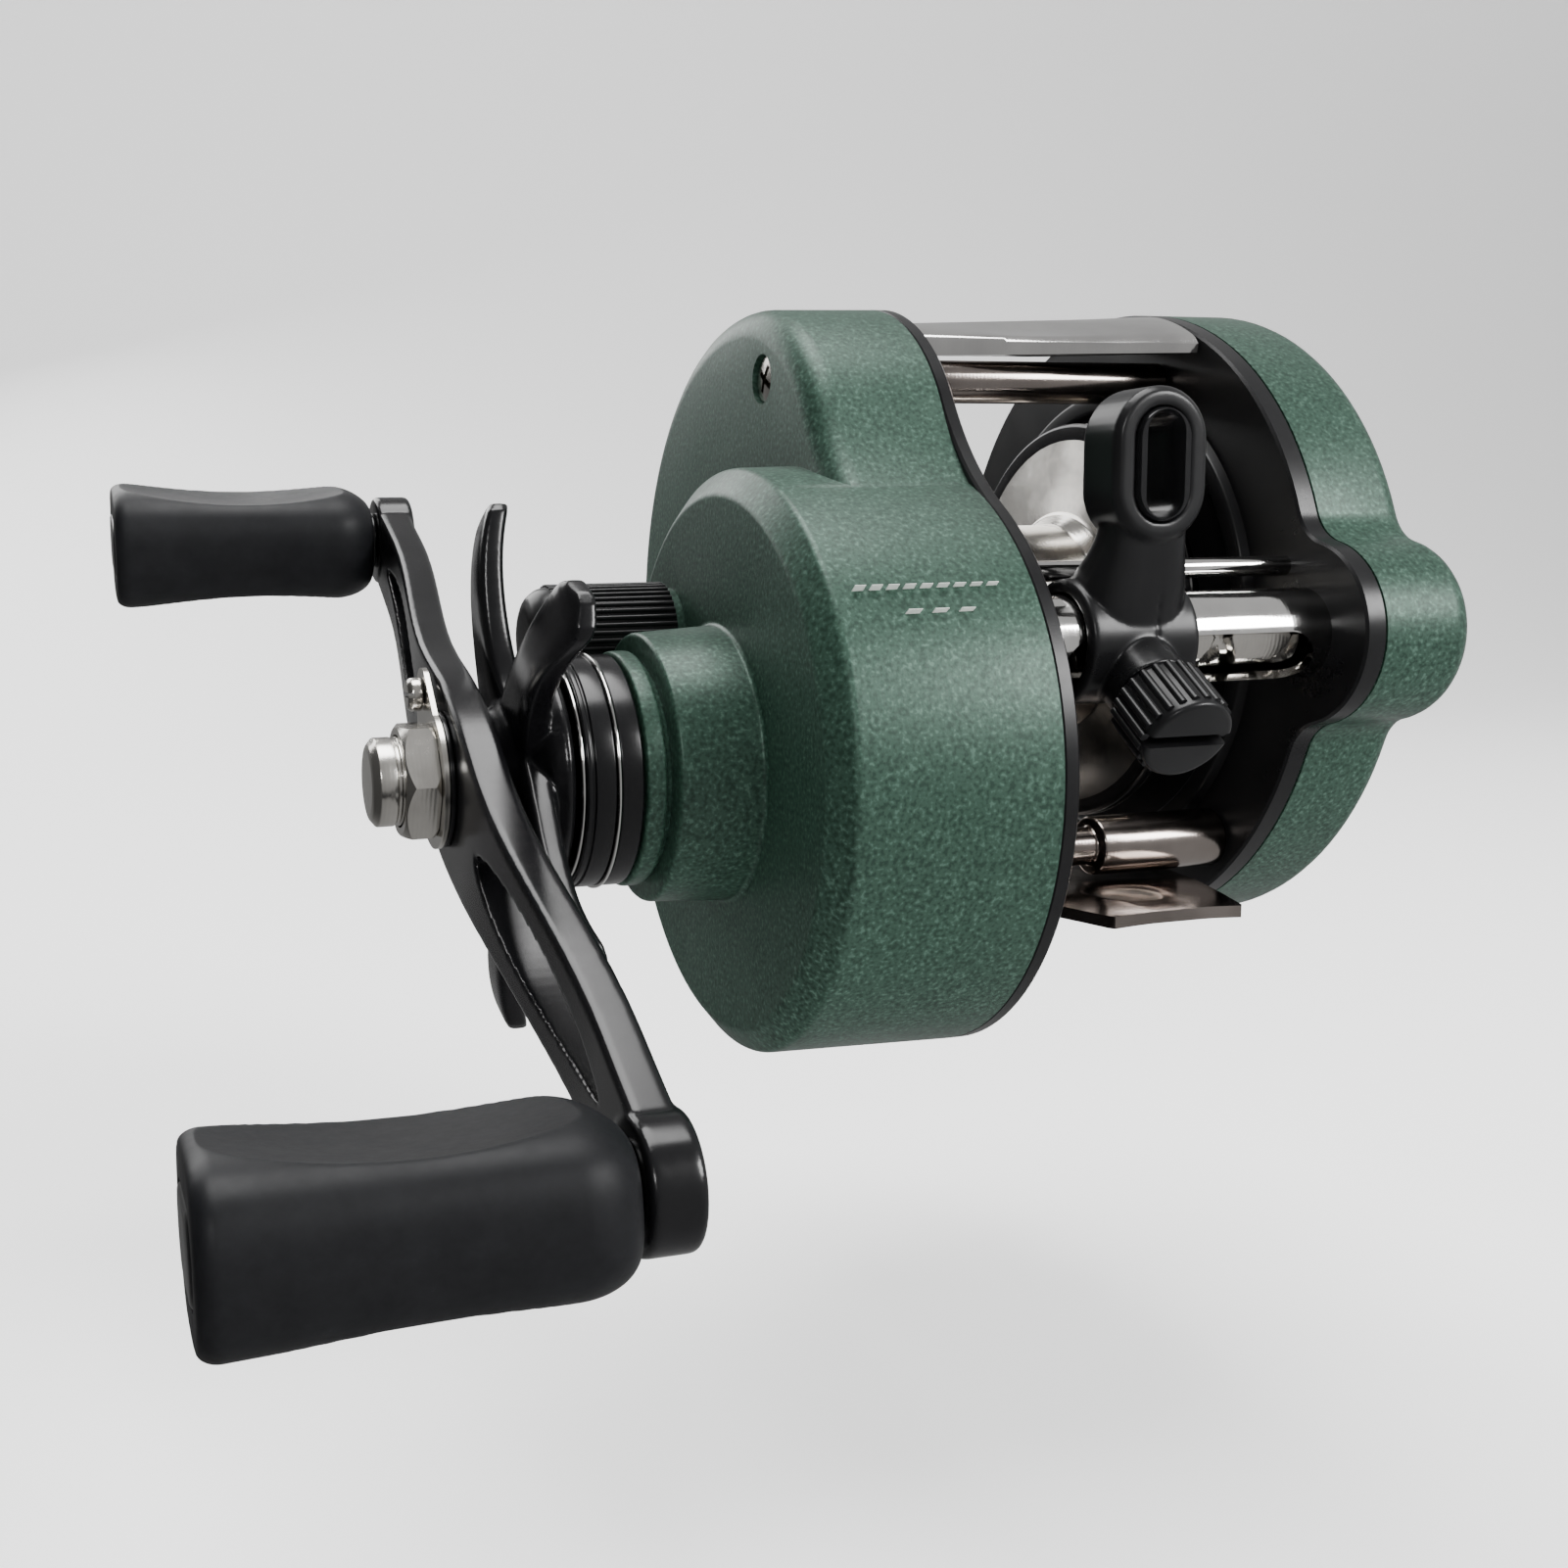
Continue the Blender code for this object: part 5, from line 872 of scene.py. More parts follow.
def wormScrew():
    # two crossed helical grooves, cut into the rows of the middle stretch
    look = {"radius": 2.3, "depth": 0.75, "pitch": 7.0, "journal": 1.2, "length": 20.8, "land": 0.45,
            "flank": 0.22, "fade": 0.4, "rows": 220, "around": 60}
    b = boxOf("worm_shaft")
    half, around, journal = look["length"] / 2, look["around"], look["journal"]
    rings = [[(x, journal)] * around for x in (b[0], -half - 0.02)]
    for i in range(look["rows"] + 1):
        x = -half + look["length"] * i / look["rows"]
        row = []
        for k in range(around):
            gap = 1.0
            for hand in (1, -1):
                lead = (hand * k / around - x / look["pitch"]) % 1.0
                lead = min(lead, 1 - lead) * look["pitch"]
                gap = min(gap, max(0.0, (lead - look["land"]) / look["flank"]))
            gap = max(gap, 1 - min(1, (half - abs(x)) / look["fade"]))
            row.append((x, look["radius"] - look["depth"] * (1 - gap)))
        rings.append(row)
    rings += [[(x, journal)] * around for x in (half + 0.02, b[1])]
    circle = [(math.cos(2 * math.pi * k / around), math.sin(2 * math.pi * k / around)) for k in range(around)]
    sections = [[(x, wormAxis[0] + r * c, wormAxis[1] + r * s) for (x, r), (c, s) in zip(row, circle)]
                for row in rings]
    return settle(loftPiece("wormScrew", sections, finish["steel"], 50), "worm", "bare_steel", "worm_shaft")


def lineGuide():
    look = guide
    x, wy, half, collar = look["x"], wormAxis[0], (guideBox[1] - guideBox[0]) / 2, look["collar"]
    body = rodPiece("lineGuide", x - half, x + half, collar, wormAxis, None, 0.5, 96)
    face, depth, cz = look["eyeFace"], look["eyeDepth"], look["eyeZ"]

    def stadiumAt(y, width, height):
        return [(px, y, pz) for px, pz in stadiumPoints(x, cz, width, height)]

    eye = loftPiece("eye", [stadiumAt(y, look["width"] + grow, look["height"] + grow) for y, grow in (
        (face + depth, -0.7), (face + depth - 0.35, 0.0), (face + 0.5, 0.0), (face, -0.9))])
    # the neck swells from the eye down into a saddle over the worm tube and the guide rod
    neck = []
    for k in range(25):
        t = k / 24
        z = 0.4 + (cz - look["hole"][1] / 2 - 0.6) * t
        ease = t * t * (3 - 2 * t)
        swell = math.exp(-((z - 4.9) / 2.3) ** 2)
        front = wy - 4.6 + (face + 0.5 - wy + 4.6) * ease
        back = wy + 4.3 + (face + depth - 0.3 - wy - 4.3) * ease
        halfX = 4.35 - 1.25 * ease + 0.35 * swell * (1 - t)
        neck.append([(x + halfX * c, (front + back) / 2 + (back - front) / 2 * d, z)
                     for c, d in squircle(40, 0.6, 0.6)])
    mouth = look["capStart"] - 0.3
    pocket = alongSlot("pocket", [(2.0, 0), (2.0, 3.05), (mouth, 3.05), (mouth, 0)])
    joinPieces(body, [loftPiece("neck", neck), eye, pocket])
    seam, inset, (holeWide, holeHigh) = x + 0.9, collar - 0.35, look["insert"]
    ends = (face - 1, face + depth + 1)
    boolPiece(body, [
        turnedPiece("seam", tubeProfile(seam - 0.13, seam + 0.13, inset, 6), wormAxis, None, 96),
        roundBar(x - 8, x + 8, 3.8, wormAxis), roundBar(x - 8, x + 8, 1.0, centreOf("guide_rod"), 48),
        loftPiece("eye hole", [stadiumAt(y, holeWide + 0.2, holeHigh + 0.2) for y in ends]),
        alongSlot("pawl bore", [(0, 0), (0, 1.6), (9, 1.6), (9, 0)])])
    moulding(body, 0.13, 9, finish["plastic"])
    return settle(body, "guide", "frame_black", "line_guide")


def guideInsert():
    look = guide
    face, (w0, h0), (w1, h1) = look["eyeFace"], look["hole"], look["insert"]
    front, back = face - 0.3, face + look["eyeDepth"] + 0.2
    rings = [(front + 0.25, w1, h1), (back, w1, h1), (back, w0, h0)]
    rings += [(front + 1.2 * (1 - t), w0 + 0.5 * t ** 2, h0 + 0.5 * t ** 2) for t in (0, 0.35, 0.7, 0.9, 1.0)]
    rings += [(front, w1 - 0.3, h1 - 0.3)]
    verts, faces = [], []
    for y, w, h in rings:
        verts += [(px, y, pz) for px, pz in stadiumPoints(look["x"], look["eyeZ"], w, h)]
    count = len(verts) // len(rings)
    for row in range(len(rings)):
        after = (row + 1) % len(rings)
        for i in range(count):
            j = (i + 1) % count
            faces.append([row * count + i, row * count + j, after * count + j, after * count + i])
    insert = meshPiece("guideInsert", verts, faces, finish["gloss"], 40)
    return settle(insert, "guide", "black_anodised", "guide_insert")


def ribRing(count, ringRadius, ribRadius, length, centre, aim, mat):
    made = runTree("ribs", ribs, {
        "Count": count, "Ring Radius": ringRadius * mm, "Rib Radius": ribRadius * mm,
        "Length": length * mm, "Sides": 12, "Finish": mat})
    turn = Vector((0, 0, 1)).rotation_difference(Vector(aim)).to_matrix().to_4x4()
    made.data.transform(Matrix.Translation(toWorld(*centre)) @ turn)
    smoothPiece(made, 40)
    return made


def pawlCap():
    look = guide
    near, far, r, x = look["capStart"], look["capStart"] + look["capLength"], look["capRadius"], look["x"]
    ribRadius, slotHalf = 0.33, 0.5
    edge = rounded([(near, 0), (near, r - 0.25), (far, r - 0.25), (far, 0)], 0.4)
    cap = alongSlot("pawlCap", edge, finish["plastic"], 96)
    blade = ((-5, -slotHalf), (5, -slotHalf), (5, slotHalf), (-5, slotHalf))
    slot = [[onSlot(x + u, depth, v) for u, v in blade] for depth in (far - 1.3, far + 1)]
    grips = ribRing(22, r - ribRadius, ribRadius, look["capLength"] - 1.0,
                    onSlot(x, (near + far) / 2 - 0.2, 0), (0, *slotDir), finish["plastic"])
    boolPiece(cap, [loftPiece("slot", slot)])
    settle(mergeMeshes(cap, grips), "pawl", "frame_black", "pawl_cap")
    stem = alongSlot("pawlStem", [(2.55, 0), (2.55, 0.8), (3.4, 0.9), (3.4, 1.4), (6.6, 1.4), (6.6, 0)],
                     finish["brass"], 48)
    settle(stem, "pawl", "gear_brass", "pawl")


def guideRod():
    b = boxOf("guide_rod")
    rod = rodPiece("guideRod", b[0], b[1], (b[3] - b[2]) / 2, centreOf("guide_rod"), finish["chrome"])
    return settle(rod, "frame", "bright_chrome", "guide_rod")


wormTube()
wormScrew()
lineGuide()
guideInsert()
pawlCap()
guideRod()
print("level wind made")


# ---- spool
def spoolParts():
    left, right, r = boxOf("spool")[0], boxOf("spool")[1], boxOf("spool")[3]
    look = {"flange": 1.2, "arbor": 9.0, "bore": 1.65, "dish": 5.8, "web": 5.6, "proud": 0.06}
    f, arbor, proud = look["flange"], look["arbor"], look["proud"]
    # half of the profile, as (distance in from the flange's face, radius), then its mirror image
    half = [(1.3, look["bore"]), (1.3, look["dish"]), (0.8, r - look["web"]), (0.1, r - 1.3), (0, r - 0.9),
            (0, r), (f, r), (f, r - 0.8), (f + 0.75, arbor + 1.0), (f + 2.0, arbor)]
    points = [(left + x, radius) for x, radius in half] + [(right - x, radius) for x, radius in half[::-1]]
    body = turnedPiece("spoolBody", rounded(points, 0.22, 3), spoolAxis, finish["steel"], 160)
    settle(body, "spool", "bare_steel", "spool")
    rims = [turnedPiece("spoolRims", rounded(tubeProfile(x0 - proud, x1 + proud, r - 2.6, r + proud), 0.3),
                        spoolAxis, finish["gloss"], 160) for x0, x1 in ((left, left + f), (right - f, right))]
    smoothPiece(mergeMeshes(*rims))
    settle(rims[0], "spool", "black_anodised")
    bands = [turnedPiece("spoolBands", tubeProfile(x - 0.07, x + 0.07, r - 0.3, r + 0.09),
                         spoolAxis, finish["chrome"], 160)
             for x in (left + 0.25, left + 0.95, right - 0.95, right - 0.25)]
    for band in bands[1:]:
        mergeMeshes(bands[0], band)
    settle(bands[0], "spool", "bright_chrome")
    start, end, step = *boxOf("spool_shaft")[:2], -15.3
    shaft = turnedPiece("spoolShaft", rounded([(start, 0), (start, 0.8), (step, 0.8), (step, 1.5), (end, 1.5),
                                               (end, 0)], 0.12), spoolAxis, finish["steel"], 48)
    settle(shaft, "spool", "bare_steel", "spool_shaft")


spoolParts()
print("spool made")


# ---- drag rings, star and tension cap
def dragParts():
    bore, grooveAt, grooveHalf, grooveDeep = 4.05, 0.55, 0.12, 0.2
    for node, mat, slot in (("drag_ring_inner", "gloss", "black_anodised"),
                            ("spring_washer_inner", "chrome", "bright_chrome"),
                            ("drag_ring_outer", "gloss", "black_anodised"),
                            ("spring_washer_outer", "chrome", "bright_chrome")):
        b = boxOf(node)
        r, middle = (b[3] - b[2]) / 2, b[0] + grooveAt
        points = tubeProfile(b[0], b[1], bore, r)
        if node == "drag_ring_outer":
            points[2:2] = tubeProfile(middle - grooveHalf, middle + grooveHalf, r, r - grooveDeep)
        piece = turnedPiece(pieceName(node), rounded(points, 0.16), driveAxis, finish[mat], 144)
        settle(piece, "drive", slot, node)


def starWheel():
    look = {"radius": 22.8, "arms": 5, "phase": 141.0, "root": 5.2, "steps": 26, "ring": 9.3, "bore": 4.05}
    back, ring = boxOf("drag_star")[1], look["ring"]
    hub = turnedPiece("dragStar", rounded([
        (back, 0), (back, ring - 0.8), (back - 0.5, ring - 0.4), (back - 1.7, ring - 1.0), (back - 3.3, 6.4),
        (back - 4.6, 5.3), (back - 5.2, 5.0), (back - 5.2, 0)], 0.3), driveAxis, None, 96)
    arms = []
    for k in range(look["arms"]):
        sections = []
        for i in range(look["steps"] + 1):
            s = i / look["steps"]
            r = look["root"] + (look["radius"] - look["root"]) * s
            bend = math.radians(look["phase"] + 360 / look["arms"] * k) - math.radians(16) * (1 - s) ** 2
            x = back - 2.6 - 1.3 * s + 2.2 * s ** 4
            # a neck in the middle, a wider end and a rounded tip
            tip = math.sqrt(max(0.04, 1 - (max(0.0, s - 0.90) / 0.102) ** 2))
            half = (3.9 - 5.2 * s + 4.9 * s ** 2 - 0.9 * s ** 5) * tip
            thick = (1.3 - 0.35 * s) * (0.55 + 0.45 * tip)
            cy, cz = math.cos(bend), math.sin(bend)
            sections.append([(x + u * thick, driveAxis[0] + r * cy - w * half * cz,
                              driveAxis[1] + r * cz + w * half * cy) for w, u in squircle(32, 0.45, 0.45)])
        arms.append(loftPiece("arm", sections))
    joinPieces(hub, arms)
    boolPiece(hub, [roundBar(back - 9, back + 2, look["bore"], driveAxis)])
    moulding(hub, 0.15, 2, finish["gloss"])
    return settle(hub, "star", "black_anodised", "drag_star")


def tensionCap():
    b = boxOf("tension_cap")
    ribRadius, neck = 0.21, 2.9
    # the cap runs on toward the cover as a thin black skirt over the green lug: painted shade, dark plastic put
    # where the lug lies in shadow
    r, far, near, shadeSkirt = (b[3] - b[2]) / 2, b[0], coverLook["lugFace"] - 0.3, coverLook["face"] - 0.8
    points = [(b[1], 0), (b[1], neck), (near, neck), (near, r - 0.45), (shadeSkirt, r - 0.45), (shadeSkirt, r - 0.22),
              (far + 2.0, r - 0.22), (far + 1.2, r - 0.45), (far + 0.4, r - 1.1), (far, r - 2.1), (far, 0)]
    cap = turnedPiece("tensionCap", rounded(points, 0.35), spoolAxis, finish["plastic"], 96)
    length = shadeSkirt - far - 2.1
    middle = (shadeSkirt - length / 2 - 0.1, 0, 0)
    grips = ribRing(44, r - 0.22, ribRadius, length, middle, (1, 0, 0), finish["plastic"])
    return settle(mergeMeshes(cap, grips), "tension_cap", "frame_black", "tension_cap")


dragParts()
starWheel()
tensionCap()
print("drag and tension cap made")


# ---- handle
armBox = boxOf("handle_arm")
handleAngle = math.radians(heading(driveAxis, knobAxes["upper"]))
handleDir = (math.cos(handleAngle), math.sin(handleAngle))
handle = {"throw": math.dist(driveAxis, knobAxes["upper"]), "thick": 3.0, "centreX": armBox[0] + 3.0,
          "endX": armBox[1] - 0.4, "hub": 4.25, "hubThick": 3.1, "shaft": 3.5, "bore": 3.65, "studBore": 1.75}


def onArm(s, t):
    return (driveAxis[0] + s * handleDir[0] - t * handleDir[1],
            driveAxis[1] + s * handleDir[1] + t * handleDir[0])


def armX(s):
    t = min(max((abs(s) - 8.3) / 28.3, 0), 1)
    t = t * t * (3 - 2 * t)
    return handle["centreX"] + (handle["endX"] - handle["centreX"]) * t


def handleArm():
    look = handle
    stations, bevel, reach, thick = 70, 0.45, look["throw"], look["thick"]
    sections = []
    for i in range(-stations, stations + 1):
        s = reach * i / stations
        half = 3.8 + 3.2 * math.exp(-(s / 12.5) ** 2) + 0.85 * math.sin(math.pi * abs(s) / reach) ** 2
        outer, low = armX(s) - bevel, armX(s) - thick + bevel
        section = []
        for across, x, start in ((half - bevel, outer, 0), (-half + bevel, outer, 90),
                                 (-half + bevel, low, 180), (half - bevel, low, 270)):
            for k in range(4):
                a = math.radians(start + 30 * k)
                section.append((x + bevel * math.sin(a), *onArm(s, across + bevel * math.cos(a))))
        sections.append(section)
    arm = loftPiece("handleArm", sections)
    x0, x1, hub = look["endX"] - look["hubThick"], look["endX"] + 0.4, look["hub"]
    joinPieces(arm, [turnedPiece("hub", rounded([(x0, 0), (x0, hub), (x1, hub), (x1, 0)], 0.5), at, None, 96)
                     for at in knobAxes.values()])
    cuts = []
    for side in (1, -1):
        near, far = 11.3 * side, 37.5 * side
        outline = []
        for i in range(41):
            f = (1 - math.cos(math.pi * i / 40)) / 2
            width = 2.6 * max(0, math.sin(math.pi * f)) ** 0.55 * (1.15 - 0.5 * f)
            outline.append((near + (far - near) * f, max(width, 0.02)))
        ring = [onArm(s, t) for s, t in outline + [(s, -h) for s, h in outline[::-1]]]
        cuts.append(prism("slot", ring, look["endX"] + 3, look["centreX"] - 6))
    cuts.append(roundBar(-62, -45, look["bore"], driveAxis))
    cuts += [roundBar(-62, -45, look["studBore"], at, 48) for at in knobAxes.values()]
    boolPiece(arm, cuts)
    moulding(arm, 0.175, 3, finish["gloss"])
    return settle(arm, "drive", "black_anodised", "handle_arm")


def handleHardware():
    bore, steel = handle["bore"], finish["steel"]
    b = boxOf("arm_washer")
    washer = turnedPiece("armWasher", rounded(tubeProfile(b[0], b[1], bore, 5.4), 0.1), driveAxis,
                         finish["gloss"], 96)
    settle(washer, "drive", "black_anodised", "arm_washer")

    # the retainer is a ring round the nut with a small ear for its screw
    x0, x1 = boxOf("nut_retainer")[:2]
    reach, turn = 7.0, math.radians(68)
    outline = arcPoints((0, 0), 5.5, 40, 320, 90) + arcPoints((reach, 0), 2.1, -60, 60, 30)
    plate = prism("nutRetainer", turnedOutline(outline, driveAxis, turn), x0, x1, steel)
    ear = (driveAxis[0] + reach * math.cos(turn), driveAxis[1] + reach * math.sin(turn))
    boolPiece(plate, [roundBar(x0 - 1, x1 + 1, bore, driveAxis), roundBar(x0 - 1, x1 + 1, 0.95, ear, 32)])
    settle(plate, "drive", "bare_steel", "nut_retainer")

    x0, x1 = boxOf("retainer_screw")[:2]
    profile = [(x0, 0), (x0, 1.1), (x0 + 0.35, 1.35), (x0 + 1.15, 1.35), (x0 + 1.15, 0.75), (x1, 0.75), (x1, 0)]
    screw = turnedPiece("retainerScrew", rounded(profile, 0.15), ear, steel, 48)
    blade = [(ear[0] + u, ear[1] + v) for u, v in ((-2, -0.2), (2, -0.2), (2, 0.2), (-2, 0.2))]
    boolPiece(screw, [prism("slot", blade, x0 - 1, x0 + 0.45)])
    settle(screw, "drive", "bare_steel", "retainer_screw")

    b = boxOf("handle_nut")
    x0, x1, corner = b[0], b[1], (b[3] - b[2]) / 2
    hexagon = [(driveAxis[0] + corner * math.cos(math.radians(60 * k)),
                driveAxis[1] + corner * math.sin(math.radians(60 * k))) for k in range(6)]
    nut = prism("handleNut", hexagon, x0, x1, steel)
    crown = turnedPiece("crown", [(x0 - 0.5, 0), (x0 - 0.5, corner - 1.4), (x0, corner - 0.75),
                                  (x0 + 0.6, corner + 0.02), (x1 - 0.5, corner + 0.02), (x1, corner - 0.4),
                                  (x1 + 1, corner - 0.4), (x1 + 1, 0)], driveAxis, None, 144)
    boolPiece(nut, [crown], "INTERSECT")
    boolPiece(nut, [roundBar(x0 - 2, x1 + 2, bore, driveAxis)], sharp=25)
    settle(nut, "drive", "bare_steel", "handle_nut")

    start, end = boxOf("drive_shaft")[:2]
    r, neck, front, flange, thin = handle["shaft"], x0 - 0.5, x0 - 0.15, 4.8, 2.0
    points = [(start, 0), (start, r - 1.0), (start + 0.1, r - 0.55), (start + 0.55, r), (neck, r),
              (neck, r - 0.25), (front, r - 0.25), (front, r), (-23.4, r),
              (-23.4, flange), (-22.7, flange), (-22.7, thin), (end, thin), (end, 0)]
    shaft = turnedPiece("driveShaft", rounded(points, 0.12, 3), driveAxis, steel, 96)
    settle(shaft, "drive", "bare_steel", "drive_shaft")


def gripKnob(side):
    look = {"width": 16.6, "depth": 11.3, "rows": 120, "around": 128, "upper": 8.0, "lower": -8.0,
            "scoopMiddle": 0.49, "scoopHalf": 0.43, "scoopWide": 0.86, "scoopDepth": 1.25,
            "capHalf": 6.1, "capRadius": 2.75, "bore": 1.85}
    at, tilt = knobAxes[side], math.radians(look[side])
    end, start = boxOf(f"knob_{side}")[:2]
    sections = []
    for i in range(look["rows"] + 1):
        s = i / look["rows"]
        # short steps at both ends, where the edges round over
        s = s - math.sin(2 * math.pi * s) / (2 * math.pi) * 0.72
        opening = min(s / 0.16, 1.0)
        mouth = 0.62 + 0.38 * math.sqrt(max(0, 1 - (1 - opening) ** 2))
        flare = 0.93 + 0.07 * s - 0.02 * math.sin(math.pi * s)
        last = max(0.0, (s - 0.945) / 0.055)
        tip = 1.0 - 0.14 * (1 - math.sqrt(max(0, 1 - last ** 2)))
        halfW, halfD = look["width"] / 2 * mouth * flare * tip, look["depth"] / 2 * mouth * flare * tip
        section = []
        for c, d in squircle(look["around"], 0.62, 0.72):
            u, v = halfW * c, halfD * d
            # a hollow of its own curve cuts the crowned face along an oval
            along = (s - look["scoopMiddle"]) / look["scoopHalf"]
            across = u / (look["width"] / 2 * look["scoopWide"])
            crown = look["depth"] / 2 * 0.93 * (1 - 0.12 * across ** 2)
            limit = crown - look["scoopDepth"] * (1 - along ** 2 - 0.85 * across ** 2)
            section.append((u, math.copysign(min(abs(v), max(limit, 1.0)), v)))
        sections.append([(start - (start - end) * s, *point) for point in turnedOutline(section, at, tilt)])
    knob = loftPiece(f"gripKnob_{side}", sections, finish["rubber"], 50)

    def capOutline(grow):
        middle = look["capHalf"] - look["capRadius"]
        ring = arcPoints((middle, 0), look["capRadius"] + grow, -90, 90, 24)
        ring += arcPoints((-middle, 0), look["capRadius"] + grow, 90, 270, 24)
        return turnedOutline(ring, at, tilt)

    pocket = prism("pocket", capOutline(0.05), end - 1, end + 0.8)
    boolPiece(knob, [pocket, roundBar(start + 1, end + 4.6, look["bore"], at, 48)], sharp=38)
    settle(knob, f"knob_{side}", "knob_rubber", f"knob_{side}")
    steps = ((end - 0.12, -0.45), (end - 0.02, -0.25), (end + 0.12, -0.15), (end + 0.65, -0.15))
    cap = loftPiece(f"knobCap_{side}", [[(x, *point) for point in capOutline(grow)] for x, grow in steps],
                    finish["plastic"])
    settle(cap, f"knob_{side}", "frame_black", f"knob_cap_{side}")


def knobSpindle(side):
    start, end = boxOf(f"knob_spindle_{side}")[:2]
    back, r, collar = handle["endX"] - handle["hubThick"], 1.6, 2.7
    points = [(start, 0), (start, r), *tubeProfile(back - 0.5, back - 0.1, r, collar), (end, r), (end, 0)]
    spindle = turnedPiece(f"knobSpindle_{side}", rounded(points, 0.15, 3), knobAxes[side],
                          finish["gloss"], 72)
    settle(spindle, "drive", "black_anodised", f"knob_spindle_{side}")


handleArm()
handleHardware()
for side in ("upper", "lower"):
    gripKnob(side)
    knobSpindle(side)
print("handle made")


# ---- thumb bar
def thumbBar():
    x0, x1, y0, y1, z0, z1 = boxOf("thumb_bar")
    look = {"grooves": 3, "pitch": 0.55, "wide": 0.25, "deep": 0.25, "half": 9, "edge": 0.1}
    outline = [(y0, z0), (y1, z0), (y1, z1 - 0.9), (y1 - 1.0, z1), (y0 + 1.0, z1), (y0, z1 - 0.9)]
    bar = prism("thumbBar", outline, x0, x1)
    half, floor = look["half"], z1 - look["deep"]
    ring = ((-half, z1 + 1), (half, z1 + 1), (half, floor), (-half, floor))
    cuts = []
    for k in range(look["grooves"]):
        y = y0 + 0.9 + look["pitch"] * k
        cuts.append(loftPiece("groove", [[(x, end, z) for x, z in ring] for end in (y, y + look["wide"])]))
    boolPiece(bar, cuts)
    bevel = bar.modifiers.new("edge", "BEVEL")
    bevel.width = look["edge"] * mm
    bevel.segments = 2
    bevel.limit_method = "ANGLE"
    bakeModifiers(bar)
    smoothPiece(bar, 35)
    return settle(bar, "thumb_bar", "frame_black", "thumb_bar")


thumbBar()
print("thumb bar made")


# ---- the inner pieces keep their own shape and get a finish
innerFinish = {
    "steel": ("spool_bearing_handle", "spool_bearing_palm", "drive_bearing", "one_way_bearing", "key_washer",
              "clutch_yoke"),
    "brass": ("drive_gear", "pinion_gear"),
    "fibre": ("drag_washer",),
    "nylon": ("level_wind_drive_gear", "idler_gear", "worm_gear", "brake_block_upper", "brake_block_lower"),
    "gloss": ("brake_drum",),
}
for key, names in innerFinish.items():
    for name in names:
        mesh = frame["nodes"][name].data
        mesh.materials.clear()
        mesh.materials.append(finish[key])
print("inner pieces finished")


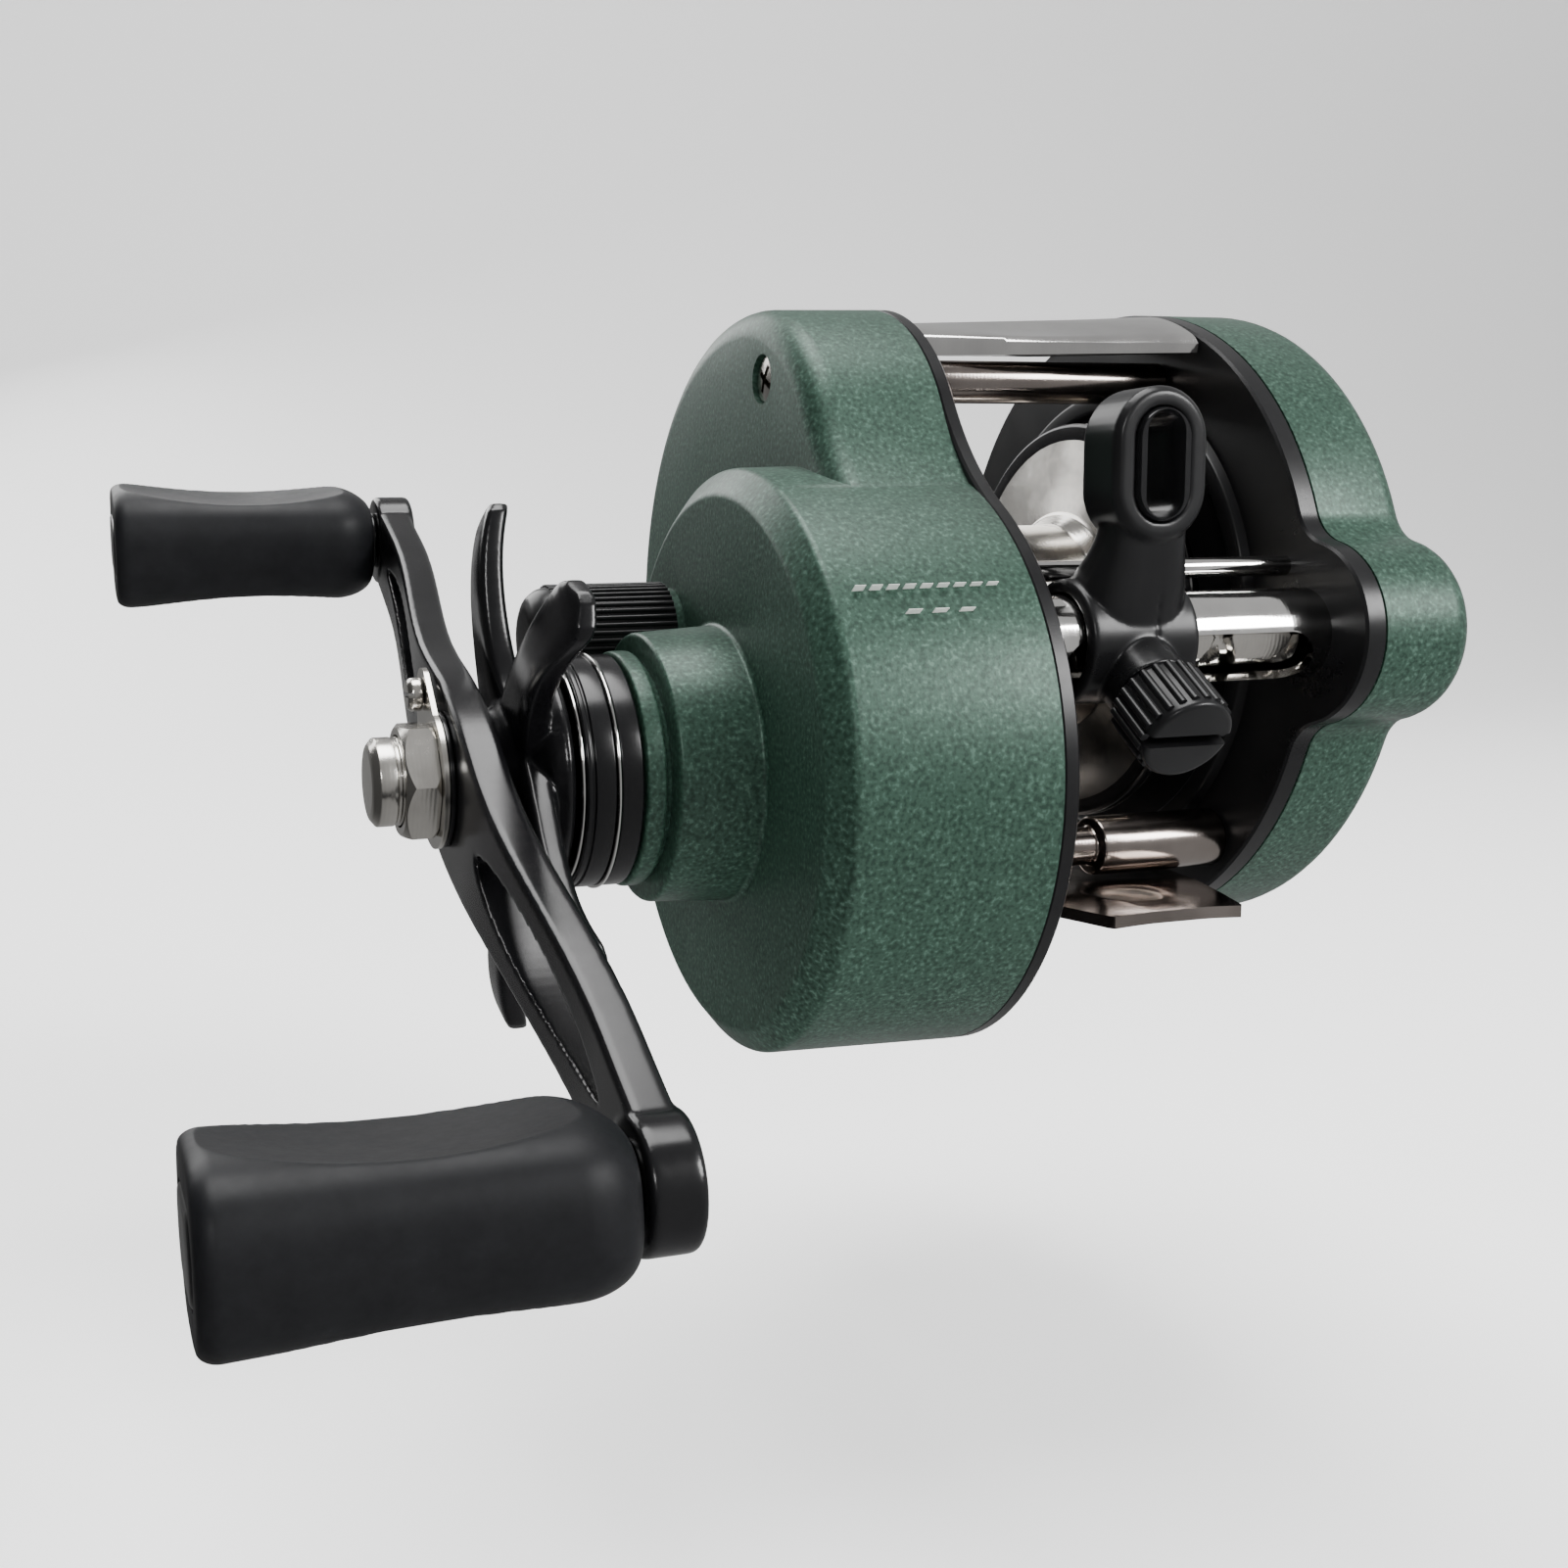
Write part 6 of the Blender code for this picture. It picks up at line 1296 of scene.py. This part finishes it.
# ---- floor, light and camera
def studio():
    look = {"drop": 0.033, "reach": 2.4, "bend": 0.45, "curve": 0.5, "height": 2.2, "glow": 0.30}
    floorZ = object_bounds()[0][2] - look["drop"]
    reach, bend, curve = look["reach"], look["bend"], look["curve"]
    turns = [math.pi / 2 * i / 16 for i in range(1, 17)]
    rows = [(-reach, 0.0), (bend, 0.0)]
    rows += [(bend + curve * math.sin(a), curve * (1 - math.cos(a))) for a in turns]
    rows += [(bend + curve, look["height"])]
    verts = [(side * reach * 1.5, y, floorZ + z) for y, z in rows for side in (-1, 1)]
    faces = [[2 * i, 2 * i + 1, 2 * i + 3, 2 * i + 2] for i in range(len(rows) - 1)]
    mesh = bpy.data.meshes.new("studioFloor")
    mesh.from_pydata(verts, [], faces)
    mesh.shade_smooth()
    paper = bpy.data.materials.new("studio paper")
    paper.use_nodes = True
    for key, value in {"Base Color": (0.93, 0.93, 0.93, 1), "Roughness": 0.9,
                       "Emission Color": (1, 1, 1, 1), "Emission Strength": look["glow"]}.items():
        paper.node_tree.nodes["Principled BSDF"].inputs[key].default_value = value
    mesh.materials.append(paper)
    floor = bpy.data.objects.new("studioFloor", mesh)
    bpy.context.scene.collection.objects.link(floor)
    floor.visible_glossy = False
    floor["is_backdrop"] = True

    # a white surround, dimmer toward the handle side
    world = bpy.data.worlds.new("studio")
    bpy.context.scene.world = world
    world.use_nodes = True
    nodes, links = world.node_tree.nodes, world.node_tree.links
    way, split = nodes.new("ShaderNodeTexCoord"), nodes.new("ShaderNodeSeparateXYZ")
    fade = nodes.new("ShaderNodeMapRange")
    for key, value in {"From Min": -0.7, "From Max": 0.7, "To Min": 0.08, "To Max": 0.55}.items():
        fade.inputs[key].default_value = value
    links.new(way.outputs["Generated"], split.inputs["Vector"])
    links.new(split.outputs["X"], fade.inputs["Value"])
    links.new(fade.outputs["Result"], nodes["Background"].inputs["Strength"])
    nodes["Background"].inputs["Color"].default_value = (1, 1, 1, 1)

    # each light: its place and size in metres, and its power
    lamps = {"key": ((0.42, -0.50, 0.34), 0.26, 7.0), "strip": ((-0.30, -0.62, 0.30), 0.12, 1.2),
             "top": ((-0.02, 0.02, 0.62), 0.40, 6.0), "rear": ((-0.25, 0.60, 0.40), 0.50, 4.0)}
    aim = toWorld(-15, 0, 0)
    for name, (place, size, power) in lamps.items():
        data = bpy.data.lights.new(name, "AREA")
        data.size = size
        data.energy = power
        light = bpy.data.objects.new(name, data)
        light.location = place
        light.rotation_euler = (aim - Vector(place)).to_track_quat("-Z", "Y").to_euler()
        bpy.context.scene.collection.objects.link(light)


def cameraView():
    look = {"azimuth": -16.442, "elevation": 8.023, "roll": -1.07, "place": (-80.724, -141.207, 8.073),
            "lens": 39.14, "shift": 0.125}
    az, el, roll = (math.radians(look[key]) for key in ("azimuth", "elevation", "roll"))
    ahead = -Vector((math.sin(az) * math.cos(el), -math.cos(az) * math.cos(el), math.sin(el)))
    right = ahead.cross(Vector((0, 0, 1))).normalized()
    up = right.cross(ahead)
    right, up = (math.cos(roll) * right + math.sin(roll) * up, -math.sin(roll) * right + math.cos(roll) * up)
    data = bpy.data.cameras.new("camera")
    data.lens = look["lens"]
    data.sensor_width = 36.0
    data.shift_x = look["shift"]
    data.clip_start = 0.005
    camera = bpy.data.objects.new("camera", data)
    turn = Matrix((right, up, -ahead)).transposed().to_4x4()
    camera.matrix_world = Matrix.Translation(toWorld(*look["place"])) @ turn
    bpy.context.scene.collection.objects.link(camera)
    bpy.context.scene.camera = camera


studio()
cameraView()
print("studio set")
